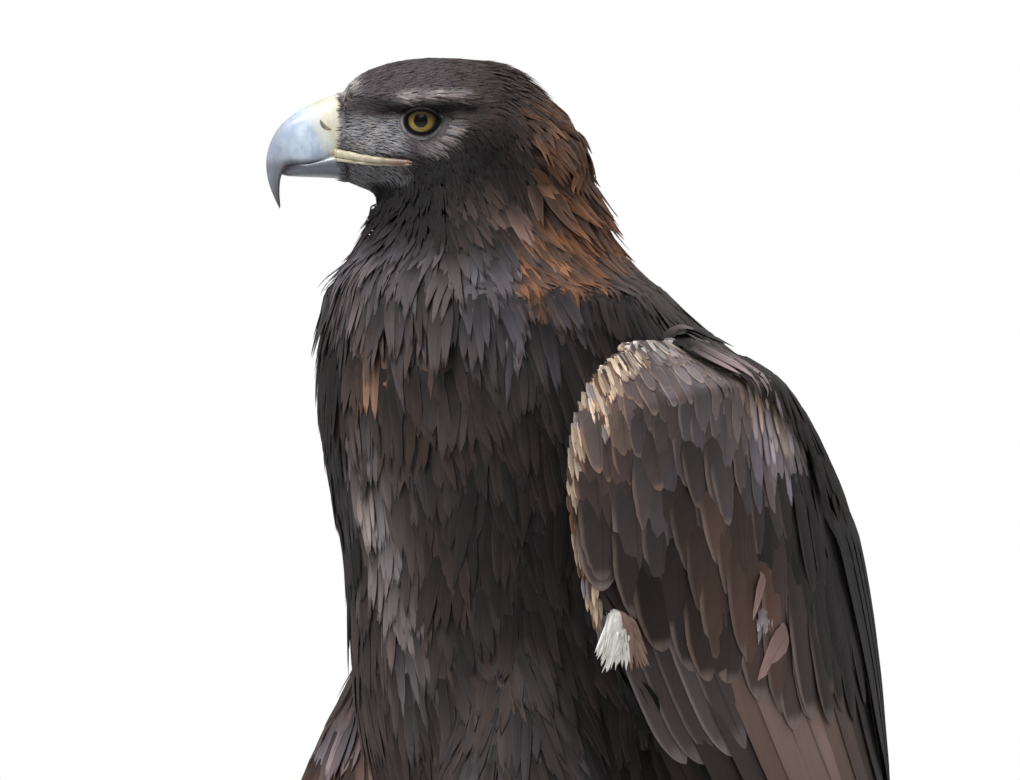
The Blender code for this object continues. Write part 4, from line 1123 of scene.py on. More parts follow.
class Finish(Tree):
    """A material, with its constant numbers set on the Principled shader's own sockets."""

    def __init__(self, name, colour, roughness, **more):
        self.made = bpy.data.materials.new(name)
        self.made.use_nodes = True
        super().__init__(self.made.node_tree)
        self.inputs = self.nodes["Principled BSDF"].inputs
        for key, value in {"Base_Color": colour, "Roughness": roughness, **more}.items():
            self.feed(self.inputs[key.replace("_", " ")], value)

    def wear(self, colour, height=None, strength=0.0, distance=0.0, roughness=None):
        """The finished material: its colour, and where given its roughness and a bump, from the nodes."""
        self.links.new(colour, self.inputs["Base Color"])
        if roughness is not None:
            self.links.new(roughness, self.inputs["Roughness"])
        if height is not None:
            node = self.add("Bump")
            for title, value in (("Strength", strength), ("Distance", distance), ("Height", height)):
                self.feed(node.inputs[title], value)
            self.links.new(node.outputs[0], self.inputs["Normal"])
        return self.made


def make_vane_group():
    """A vane's markings: its own tint, barbs that sweep from shaft to edge, a paler rim and a dark shaft."""
    numbers = dict.fromkeys(("Barbs", "Strands", "Contrast", "Shaft"), "Float")
    vane = Group("vane_markings", numbers, {"Color": "Color", "Barb": "Float"})
    tint, rim = vane.read("tint"), vane.read("rim")
    split = vane.add("SeparateXYZ")
    vane.links.new(vane.add("UVMap", uv_map="vane").outputs[0], split.inputs[0])
    u, v = split.outputs[0], split.outputs[1]
    away = vane.math("ABSOLUTE", vane.math("SUBTRACT", u, 0.5))
    run = vane.math("SUBTRACT", v, vane.times(away, 0.5))
    crossed, spread_out = vane.times(run, vane.given["Barbs"]), vane.times(u, vane.given["Strands"])
    place = vane.join(crossed, spread_out, vane.times(tint["Alpha"], 91.0))
    fine, cloud = vane.noise(place, 1.0, 3.0, 0.65), vane.noise(place, 0.16, 2.0, 0.5)
    mottle = vane.math("ADD", vane.times(fine, 0.55), vane.times(cloud, 0.45))
    swing = vane.times(vane.math("SUBTRACT", mottle, 0.5), vane.given["Contrast"])
    streak = vane.math("MAXIMUM", vane.math("ADD", swing, 1.0), 0.25)
    edge = vane.math("MAXIMUM", vane.ramp(away, 0.38, 0.475), vane.ramp(v, 0.86, 0.955))
    border = vane.times(vane.times(edge, rim["Alpha"]), vane.ramp(v, 0.2, 0.6))
    colour = vane.mix(border, tint["Color"], rim["Color"])
    grey = vane.feed_all(vane.add("CombineColor"), (streak, streak, streak))
    colour = vane.mix(1.0, colour, grey, "MULTIPLY")
    quill = vane.times(vane.ramp(away, 0.04, 0.015), vane.given["Shaft"])
    return vane.give(Color=vane.mix(quill, colour, QUILL), Barb=fine)


def feather_material(name, group, barbs, strands, contrast, shaft, roughness, sheen):
    """Vanes tinted feather by feather, soft at a glancing look."""
    look = Finish(
        name, (0.05, 0.04, 0.04), roughness, Sheen_Weight=sheen, Sheen_Roughness=0.5,
        Specular_IOR_Level=0.16, Sheen_Tint=(0.92, 0.84, 0.88),
    )
    vane = look.group(group, Barbs=barbs, Strands=strands, Contrast=contrast, Shaft=shaft)
    matt = look.ramp(vane["Barb"], 0.3, 0.7, roughness - 0.1, roughness + 0.12)
    return look.wear(vane["Color"], vane["Barb"], 0.5, 0.0004, matt)


def make_grain_group():
    """Cloudy mottling between two colours, at a size given by Scale."""
    inputs = {"Scale": "Float", "Light": "Color", "Dark": "Color"}
    grain = Group("grain", inputs, {"Color": "Color", "Cloud": "Float"})
    cloud = grain.noise(grain.coords(), grain.given["Scale"], 4.0, 0.6)
    share = grain.ramp(cloud, 0.32, 0.68)
    return grain.give(Color=grain.mix(share, grain.given["Light"], grain.given["Dark"]), Cloud=cloud)


def make_crease_group():
    """A net of fine creases between small plates: 1 on a plate and 0 in a crease."""
    crease = Group("creases", {"Scale": "Float", "Width": "Float"}, {"Plate": "Float"})
    cells = crease.add("TexVoronoi", feature="DISTANCE_TO_EDGE")
    crease.links.new(crease.given["Scale"], cells.inputs["Scale"])
    crease.links.new(crease.coords(), cells.inputs["Vector"])
    share = crease.math("DIVIDE", cells.outputs["Distance"], crease.given["Width"])
    return crease.give(Plate=crease.math("MINIMUM", share, 1.0))


GRAIN = make_grain_group()
CREASES = make_crease_group()


def skin_material():
    """The skin under the feathers, with the same markings, darker and soft as down."""
    look = Finish("plumage_skin", (0.03, 0.025, 0.024), 0.85, Sheen_Weight=0.2)
    down = look.group(GRAIN, Scale=420.0, Light=(0.5, 0.5, 0.5), Dark=(0.2, 0.2, 0.2))
    colour = look.mix(1.0, look.read("tint")["Color"], down["Color"], "MULTIPLY")
    return look.wear(colour, down["Cloud"], 0.6, 0.0012)


def cere_edge_normal():
    """The direction, back into the face, of the plane where the cere meets the horn."""
    edge = head_point(*CERE_EDGE_TOP) - head_point(*CERE_EDGE_FOOT)
    back = edge.cross(LEFT).normalized()
    return -back if back.dot(FORWARD) > 0 else back


def horn_material():
    """Blue-grey horn: cream by the cere, pale along the side, darker at front edge, cutting edge and hook."""
    look = Finish(
        "bill_horn", (0.4, 0.45, 0.5), 0.3, Coat_Weight=0.35, Coat_Roughness=0.16, Subsurface_Weight=0.05,
    )
    ahead, rise = look.reach_along(FORWARD, HEAD_ORIGIN), look.reach_along(UP, HEAD_ORIGIN)
    cloud = look.grain(170.0, (206, 220, 236), (170, 186, 208))
    lower = look.times(look.ramp(rise, -16.5, -18.5), look.ramp(ahead, 62.0, 58.0))
    creamy = look.reach_along(cere_edge_normal(), head_point(*CERE_EDGE_TOP))
    pale = look.times(look.ramp(creamy, -5.5, 0.5, 0.0, 0.8), look.ramp(rise, -18.0, -16.0))
    line = look.noise(look.join(look.times(ahead, 1.6), look.times(rise, 0.12)), 1.0, 3.0, 0.5)
    colour = cloud["Color"]
    for share, other in (
        (look.ramp(ahead, 52.0, 66.0, 0.0, 0.6), (112, 118, 132)),
        (look.ramp(rise, -15.0, -21.0, 0.0, 0.85), (100, 106, 116)),
        (look.ramp(rise, -24.0, -38.0), (62, 64, 70)),
        (look.times(lower, 0.75), (66, 70, 78)),
        (pale, (226, 222, 202)),
        (look.ramp(line, 0.5, 0.75, 0.0, 0.25), (104, 110, 122)),
    ):
        colour = look.mix(share, colour, paint(*other))
    return look.wear(colour, line, 0.25, 0.0004, look.ramp(cloud["Cloud"], 0.3, 0.7, 0.22, 0.4))


def cere_material():
    """Pale yellow waxy skin with fine creases, blue-grey where it meets the horn."""
    look = Finish("cere_skin", (0.7, 0.62, 0.4), 0.42, Coat_Weight=0.2, Subsurface_Weight=0.12)
    cloud = look.grain(120.0, (226, 222, 206), (212, 204, 176))
    plate = look.group(CREASES, Scale=900.0, Width=0.12)["Plate"]
    colour = look.mix(look.ramp(plate, 0.0, 1.0, 0.22, 0.0), cloud["Color"], paint(150, 132, 92))
    edge = look.reach_along(cere_edge_normal(), head_point(*CERE_EDGE_TOP))
    colour = look.mix(look.ramp(edge, 3.5, -0.5, 0.0, 0.7), colour, paint(214, 220, 222))
    return look.wear(colour, plate, 0.2, 0.0003)


def gape_material():
    """The soft folds of the gape, tan yellow with darker creases."""
    look = Finish("gape_fold", (0.6, 0.5, 0.25), 0.45, Coat_Weight=0.2)
    cloud = look.grain(300.0, (200, 192, 166), (168, 156, 126))
    ahead = look.reach_along(FORWARD, HEAD_ORIGIN)
    tan = look.mix(look.ramp(ahead, 26.0, 8.0), cloud["Color"], paint(128, 104, 86))
    return look.wear(tan, cloud["Cloud"], 0.4, 0.0005)


def lid_material():
    """Bare grey skin round the eye: near black at the rim, paler on the folds outside it."""
    look = Finish("lid_skin", (0.1, 0.1, 0.1), 0.75, Specular_IOR_Level=0.08)
    cloud = look.grain(500.0, (150, 148, 152), (104, 102, 106))
    colour = look.mix(look.read("fold")["Fac"], paint(14, 12, 12), cloud["Color"])
    return look.wear(colour, look.group(CREASES, Scale=1500.0, Width=0.15)["Plate"], 0.3, 0.0003)


def toe_material():
    """Yellow toes in small horny plates with dark seams."""
    look = Finish("toe_scales", (0.6, 0.45, 0.1), 0.45, Coat_Weight=0.15)
    cloud = look.grain(90.0, (226, 190, 84), (204, 156, 58))
    plate = look.group(CREASES, Scale=420.0, Width=0.14)["Plate"]
    colour = look.mix(look.ramp(plate, 0.0, 1.0, 0.6, 0.0), cloud["Color"], paint(112, 84, 38))
    return look.wear(colour, plate, 0.6, 0.0007, look.ramp(cloud["Cloud"], 0.3, 0.7, 0.38, 0.55))


def claw_material():
    """Black polished horn, worn greyer in patches."""
    look = Finish("claw_horn", (0.02, 0.02, 0.022), 0.25, Coat_Weight=0.5, Coat_Roughness=0.12)
    cloud = look.grain(260.0, (26, 26, 29), (66, 64, 66))
    matt = look.ramp(cloud["Cloud"], 0.3, 0.7, 0.18, 0.4)
    return look.wear(cloud["Color"], cloud["Cloud"], 0.2, 0.0004, matt)


def eye_material():
    """Black pupil and olive amber iris with fine spokes, a dark outer ring and painted shade at its top, under a wet
    surface.
    """
    look = Finish(
        "eye_wet", (0.1, 0.07, 0.02), 0.08, Coat_Weight=0.25, Coat_Roughness=0.02, Specular_IOR_Level=0.12,
    )
    away = look.read("ring")["Fac"]
    place = look.join(look.times(look.read("spoke")["Fac"], 14.0), look.times(away, 0.5))
    streak = look.noise(place, 3.0, 4.0, 0.7)
    iris = look.mix(look.ramp(streak, 0.3, 0.7), paint(112, 94, 46), paint(160, 136, 64))
    rise = look.reach_along(UP, HEAD_ORIGIN)
    for share, other in (
        # The iris's top darker: painted shade under the brow.
        (look.ramp(rise, -4.0, 1.5, 0.0, 0.9), (30, 24, 16)),
        (look.ramp(away, 4.4, 5.8), (44, 33, 18)),
        (look.ramp(away, 3.2, 2.7), (4, 4, 5)),
        (look.ramp(away, 5.9, 6.3), (12, 10, 10)),
    ):
        iris = look.mix(share, iris, paint(*other))
    return look.wear(iris)


# The bare parts of the head.


def bill_rings(rows=90, count=64):
    rings = []
    for t in spread(rows):
        top_f, top_u, foot_f, foot_u, width = spline(BILL_SECTIONS, t)
        top, foot = head_point(top_f, top_u), head_point(foot_f, foot_u)
        up, centre = (top - foot) / 2, (top + foot) / 2
        ring = []
        for c, s in round_steps(count):
            high = math.copysign(abs(s) ** (1.0 if s > 0 else 0.55), s)
            wide = abs(c) ** (0.8 if s > 0 else 0.45)
            ring.append(centre + up * high + LEFT * (math.copysign(wide, c) * width * MM))
        rings.append(ring)
    return rings


def cut_flat(obj, point, normal):
    """Keeps the side of obj that normal points away from, and closes the cut."""
    work = bmesh.new()
    work.from_mesh(obj.data)
    every = list(work.verts) + list(work.edges) + list(work.faces)
    place = Vector(point) + SHIFT
    found = bmesh.ops.bisect_plane(work, geom=every, plane_co=place, plane_no=normal, clear_outer=True)
    rim = [e for e in found["geom_cut"] if isinstance(e, bmesh.types.BMEdge)]
    bmesh.ops.holes_fill(work, edges=rim)
    bmesh.ops.recalc_face_normals(work, faces=work.faces)
    work.to_mesh(obj.data)
    work.free()
    obj.data.shade_smooth()
    obj.data.set_sharp_from_angle(angle=math.radians(50))


def subtract(obj, cutters):
    for cutter in cutters:
        step = obj.modifiers.new("cut", "BOOLEAN")
        step.operation = "DIFFERENCE"
        step.object = cutter
        step.solver = "EXACT"
    evaluated(obj)
    for cutter in cutters:
        bpy.data.objects.remove(cutter)


def make_bill(horn, cere_skin):
    back = cere_edge_normal()
    upper = loft("bill_upper_horn", bill_rings())
    cut_flat(upper, head_point(*CERE_EDGE_TOP) + back * 0.3 * MM, back)
    # The cere stands a little proud of the horn and rounds down to it at its front edge.
    rings = []
    for ring in bill_rings():
        middle = sum(ring, Vector()) / len(ring)
        place = (middle - head_point(*CERE_EDGE_TOP)).dot(back) / MM
        swell = 1.004 + 0.016 * ease(place, -0.3, 5.0)
        rings.append([middle + (p - middle) * swell for p in ring])
    cere = loft("cere_skin", rings)
    cut_flat(cere, head_point(*CERE_EDGE_TOP) - back * 0.3 * MM, -back)
    lie = (FORWARD * 0.75 + UP * 0.66).normalized()
    slits = []
    for side in (1, -1):
        centre = head_point(NOSTRIL[0], NOSTRIL[1], NOSTRIL[2] * side)
        axes = (lie, lie.cross(LEFT), LEFT)
        slits.append(loft("slit", pebble(centre, axes, NOSTRIL_SIZE, 15, 0.98, 16, NOSTRIL_BEND)))
    subtract(cere, slits)
    cere.data.shade_smooth()
    cere.data.set_sharp_from_angle(angle=math.radians(50))
    rings = []
    for t in spread(40):
        ahead, top, foot, width = spline(LOWER_BILL_SECTIONS, t)
        middle = head_point(ahead, (top + foot) / 2)
        rings.append(oval(middle, LEFT, UP, width * MM, (top - foot) / 2 * MM, 40, 2.4))
    lower = loft("bill_lower_horn", rings)
    finish_piece(upper, ["bill_upper"], horn)
    finish_piece(cere, ["cere"], cere_skin)
    finish_piece(lower, ["bill_lower"], horn)
    points, faces = [], []
    for piece in (upper, cere, lower):
        faces += [[len(points) + k for k in face.vertices] for face in piece.data.polygons]
        points += [vertex.co - SHIFT for vertex in piece.data.vertices]
    return BVHTree.FromPolygons(points, faces)


def make_gape(skin, material):
    """The soft folds that run back from the bill, over and under the line of the mouth, to its corner."""
    for side, name in ((1, "left"), (-1, "right")):
        for rise, high, where in ((1.6, 1.9, "upper"), (-1.15, 0.8, "lower")):
            rings = []
            for share in spread(36):
                ahead = GAPE_FRONT[0] + (GAPE_CORNER[0] - GAPE_FRONT[0]) * share
                up = GAPE_FRONT[1] + (GAPE_CORNER[1] - GAPE_FRONT[1]) * share
                up += rise * (1 - 0.62 * share) - 0.9 * math.sin(math.pi * share)
                out = head_point(ahead, up, 34 * side)
                near, _, _ = skin.snap(np.array([tuple(out)]))
                lateral = (Vector(near[0]) - HEAD_ORIGIN).dot(LEFT) / MM
                snug = ease(share, 0.0, 0.22)
                lateral = side * 10.5 * (1 - snug) + (lateral + 0.3 * side) * snug
                size = high * (1.0 - 0.5 * share) * (1 + 0.05 * math.sin(share * 34))
                if share > 0.96:
                    size *= 0.6
                rings.append(oval(head_point(ahead, up, lateral), LEFT, UP, 1.1 * size * MM, size * MM, 16))
            finish_piece(loft(f"gape_{where}_{name}", rings), [], material)


def eye_frame(side):
    """The eye's centre, the way it looks, up, and ahead along the face."""
    axis = (LEFT * side * math.cos(EYE_FORWARD) + FORWARD * math.sin(EYE_FORWARD) - UP * 0.04).normalized()
    up = (UP - axis * UP.dot(axis)).normalized()
    return head_point(*EYE_PLACE, EYE_SIDE * side), axis, up, up.cross(axis) * side


def make_eye(side, name, wet):
    """An eyeball with a raised cornea."""
    centre, axis, up, ahead = eye_frame(side)
    work = bmesh.new()
    bmesh.ops.create_uvsphere(work, u_segments=64, v_segments=64, radius=1.0)
    mesh = mesh_from("eyeball_" + name, work)
    rings, spokes = [], []
    for vertex in mesh.vertices:
        x, y, z = vertex.co
        away = math.acos(max(-1.0, min(1.0, z)))
        bulge = 1.0 + 0.045 * math.exp(-((away / 0.55) ** 4))
        rings.append(math.sin(away) * EYE_RADIUS / MM if away < math.pi / 2 else EYE_RADIUS / MM)
        spokes.append(abs(math.atan2(y, x)))
        vertex.co = centre + SHIFT + (ahead * x + up * y + axis * z) * EYE_RADIUS * bulge
    mesh.attributes.new("ring", "FLOAT", "POINT").data.foreach_set("value", rings)
    mesh.attributes.new("spoke", "FLOAT", "POINT").data.foreach_set("value", spokes)
    turn_outwards(mesh)
    mesh.shade_smooth()
    finish_piece(put_in_scene("eyeball_" + name, mesh), ["eye_" + name], wet)


def make_lids(side, name, material):
    """Lids over the eyeball: a rounded rim round the opening, then folds that sink under the feathers."""
    centre, axis, up, ahead = eye_frame(side)
    wide, above, below = LID_OPENING
    rings, folds = [], []
    for k in range(96):
        angle = 2 * math.pi * k / 96
        c, s = math.cos(angle), math.sin(angle)
        reach = 1 / math.sqrt((c / wide) ** 2 + (s / (above if s > 0 else below)) ** 2)
        reach *= 1 + 0.12 * math.exp(-((angle if angle < math.pi else angle - 2 * math.pi) / 0.22) ** 2)
        start = math.asin(min(0.95, reach / 10.7))
        lower = ease(s, 0.45, -0.1)
        profile = [(start + away, radius, shade) for away, radius, shade in LID_RIM]
        end = 1.38
        for j in range(1, 15):
            share = j / 14
            theta = start + 0.11 + (end - start - 0.11) * share
            wave = 0.5 - 0.5 * math.cos(2 * math.pi * 2.6 * share)
            radius = 11.45 + 0.75 * wave * lower * (1 - 0.4 * share)
            profile.append((theta, radius, lower * (0.35 + 0.65 * wave)))
        profile += [(end, 9.6, 0), ((start + end) / 2, 9.6, 0)]
        out = ahead * c + up * s
        rings.append(
            [centre + (axis * math.cos(theta) + out * math.sin(theta)) * radius * MM for theta, radius, _ in profile]
        )
        folds += [shade for _, _, shade in profile]
    count = len(rings[0])
    points = [p for ring in rings for p in ring]
    faces = []
    for r in range(len(rings)):
        a, b = r * count, (r + 1) % len(rings) * count
        faces += [(a + k, b + k, b + (k + 1) % count, a + (k + 1) % count) for k in range(count)]
    lids = make_object("lids_" + name, points, faces)
    lids.data.attributes.new("fold", "FLOAT", "POINT").data.foreach_set("value", folds)
    finish_piece(lids, [], material)


# Wings and tail.


# Rows of coverts: share along the wing, length and width in millimetres.
COVERT_ROWS = (
    (0.030, 12, 5.4), (0.040, 12, 5.6), (0.050, 13, 5.8), (0.060, 13, 6.0), (0.074, 14, 6.4),
    (0.088, 15, 6.8), (0.103, 17, 7.4), (0.119, 19, 8.4), (0.137, 22, 9.8), (0.157, 26, 11.6),
    (0.179, 30, 13.8), (0.203, 34, 16.0), (0.229, 38, 18.0), (0.257, 42, 20.0), (0.287, 46, 22.0), (0.318, 50, 24.0),
    (0.349, 54, 25.5), (0.380, 58, 26.5), (0.411, 62, 27.0), (0.440, 64, 27.0), (0.468, 64, 26.0),
)
# How far along the wing the coverts' tips may reach, by share across.
COVERT_END = (
    (0.0, 0.42), (0.05, 0.455), (0.1, 0.51), (0.18, 0.555), (0.27, 0.58), (0.36, 0.60),
    (0.5, 0.63), (0.75, 0.60), (1.0, 0.56),
)
# Long feathers: along share, slope to the rear, count, from and to across, length, width, heights and step.
FLIGHT_ROWS = (
    ("primary", 0.49, -0.05, 7, 0.09, 0.24, 380, 24, (-2.6, -1.8, 0.2), 0.02, 1.0),
    ("secondary", 0.45, -0.04, 13, 0.15, 0.90, 244, 27, (-2.6, 0.3, -0.4), 0.095, 0.0),
    ("tertial", 0.34, 0.0, 5, 0.80, 0.965, 158, 28, (-2.0, 5.6, 4.0), 0.09, 0.45),
    ("primary covert", 0.385, 0.0, 5, 0.055, 0.19, 98, 17, (-3.0, 1.6, 2.2), 0.07, 0.5),
)
# The shoulder's feathers over the wing's upper rear: along, from and to across, length, width, lift.
SCAPULAR_ROWS = (
    (0.03, 0.60, 1.04, 38, 12, 4.2), (0.055, 0.60, 1.04, 40, 12, 4.8), (0.085, 0.62, 1.04, 42, 13, 5.2),
    (0.12, 0.68, 1.04, 42, 14, 5.4), (0.16, 0.81, 1.04, 44, 15, 5.4), (0.205, 0.90, 1.04, 50, 16, 5.2),
    (0.225, 0.93, 1.05, 55, 16, 5.0), (0.25, 0.94, 1.05, 60, 17, 5.0), (0.295, 0.94, 1.05, 62, 17, 4.6),
    (0.34, 0.94, 1.05, 64, 18, 4.2),
)
# Patches on the wing, some painted sheen and shade: along, across, reach along, reach across, colour and strength.
WING_PATCHES = (
    # The grey and the lilac patches here are painted sheen on the coverts.
    (0.310, 0.50, 0.085, 0.13, SHEEN * 1.5, 0.85), (0.350, 0.70, 0.06, 0.12, LILAC_SHEEN * 2.3, 0.9),
    (0.284, 0.765, 0.052, 0.10, CREAM * 1.35, 1.0), (0.345, 0.86, 0.06, 0.06, PALE * 1.35, 0.9),
    (0.478, 0.33, 0.060, 0.07, BROWN * 1.5, 0.9), (0.49, 0.43, 0.05, 0.05, BROWN * 1.5, 0.85),
    # A painted sheen.
    (0.405, 0.20, 0.045, 0.05, SHEEN, 0.6),
    # Painted shade below the down tuft, in the gap between wing and body.
    (0.500, 0.18, 0.05, 0.06, DARK, 0.6), (0.560, 0.21, 0.03, 0.05, BLACKISH, 0.75),
    (0.300, 0.10, 0.060, 0.05, BROWN, 0.6), (0.370, 0.40, 0.05, 0.08, SLATE, 0.5),
    (0.560, 0.44, 0.060, 0.09, BROWN * 1.6, 0.85), (0.600, 0.34, 0.030, 0.06, SLATE, 0.6),
)
# Loose vanes raised over the coverts, their pink a painted glint, and a ragged one in strands: along, across,
# length, width, slant, colour.
LOOSE_GLINT_VANES = ((0.437, 0.413, 25, 5.5, 0.40, PINK_GLINT * 0.9), (0.497, 0.445, 34, 13.0, 1.0, PINK_GLINT * 0.85))
WORN_STRANDS = (0.474, 0.366, 19, 9, 0.05, PALE * 1.45)
WING_LENGTH = 430  # of the whole folded wing, in millimetres
WING_DEPTH = 187
TUFT_STRANDS = 300
# The coverts over and under the tail: rows, share along the tail, length and height.
TAIL_COVERT_ROWS = ((3, 0.02, 88, 3.0), (3, 0.05, 96, -14.5))
WAY_DOWN = Vector((0.02, 0.03, -1.0))


def wing_colours(along, across, place, kind, draw):
    """Root, tip and rim colours and the rim's share of one wing feather, whose tip lies at place along."""
    down = ease(place, 0.16, 0.52)
    body = (SLATE * 1.45 + BROWN * 0.5) * (1 - down) + (DARK * 1.1 + UMBER * 0.55) * down
    rim, share = paint(140, 124, 116) * (1 - 0.42 * down), 0.95
    for a, q, reach_a, reach_q, colour, strength in WING_PATCHES:
        weight = strength * math.exp(-(((place - a) / reach_a) ** 2) - ((across - q) / reach_q) ** 2)
        if draw.random() < 0.3:
            weight *= 0.35
        body = body * (1 - weight) + colour * weight
    streak = draw.random()
    # A pale band along the wing's top: pale coverts, whitened as a painted highlight.
    crest = ease(place, 0.165, 0.135) * ease(across, 0.80, 0.60)
    tone = WHITE * 0.8 if streak > 0.5 else (CREAM * 0.5 if streak > 0.3 else SLATE)
    body = body * (1 - crest) + tone * crest
    reach = 0.08 if place < 0.29 else 0.025
    wrist = math.exp(-((across / reach) ** 2)) * ease(place, 0.50, 0.44)
    dull = PALE * 1.3 if streak > 0.35 else (TAN if streak > 0.15 else BROWN)
    pick = CREAM * 1.2 if streak > 0.45 else dull
    body = body * (1 - 0.9 * wrist) + pick * 0.9 * wrist
    near = ease(across, 0.26, 0.12) * ease(place, 0.42, 0.34) * (1 - crest)
    rim = rim * (1 - 0.6 * near) + TAN * 0.6 * near
    # Darker towards the rear edge: the dark inner feathers, deepened as painted shade where the wing turns from the
    # light.
    start = 0.92 - 0.36 * ease(place, 0.34, 0.44)
    rear = ease(across, start, start + 0.14)
    body = body * (1 - 0.95 * rear) + BLACKISH * 0.55 * rear
    start, end = 0.55, 1.0
    if kind == "secondary":
        start, end = 1.1, 0.3
        tan = math.exp(-(((across - 0.40) / 0.16) ** 2)) * (0.6 + 0.4 * draw.random())
        body = BLACKISH * 1.2 * (1 - tan) + (BROWN * 1.8 + PALE * 0.5 + TAN * 0.3) * tan
        rim, share = TAN * 0.3 + PALE * 0.15 + BROWN * 0.3, 0.1 + 0.6 * tan
    if kind in ("primary", "tertial"):
        body, rim, share = BLACKISH, UMBER * 0.7, 0.4
        if kind == "primary" and across < 0.14:
            body, rim, share = UMBER, PALE * 0.5 + TAN * 0.2, 0.8
    if kind == "primary covert":
        body, rim, share = SLATE * 0.9 + BROWN * 0.3, PALE, 0.5
    light = math.exp(draw.gauss(0, 0.2))
    warmth = draw.gauss(0, 0.04) * np.array((1.0, 0.0, -1.0))
    light = light * (1 + warmth)
    return body * start * light, body * end * light, rim * light, share * (1 - 0.8 * rear)


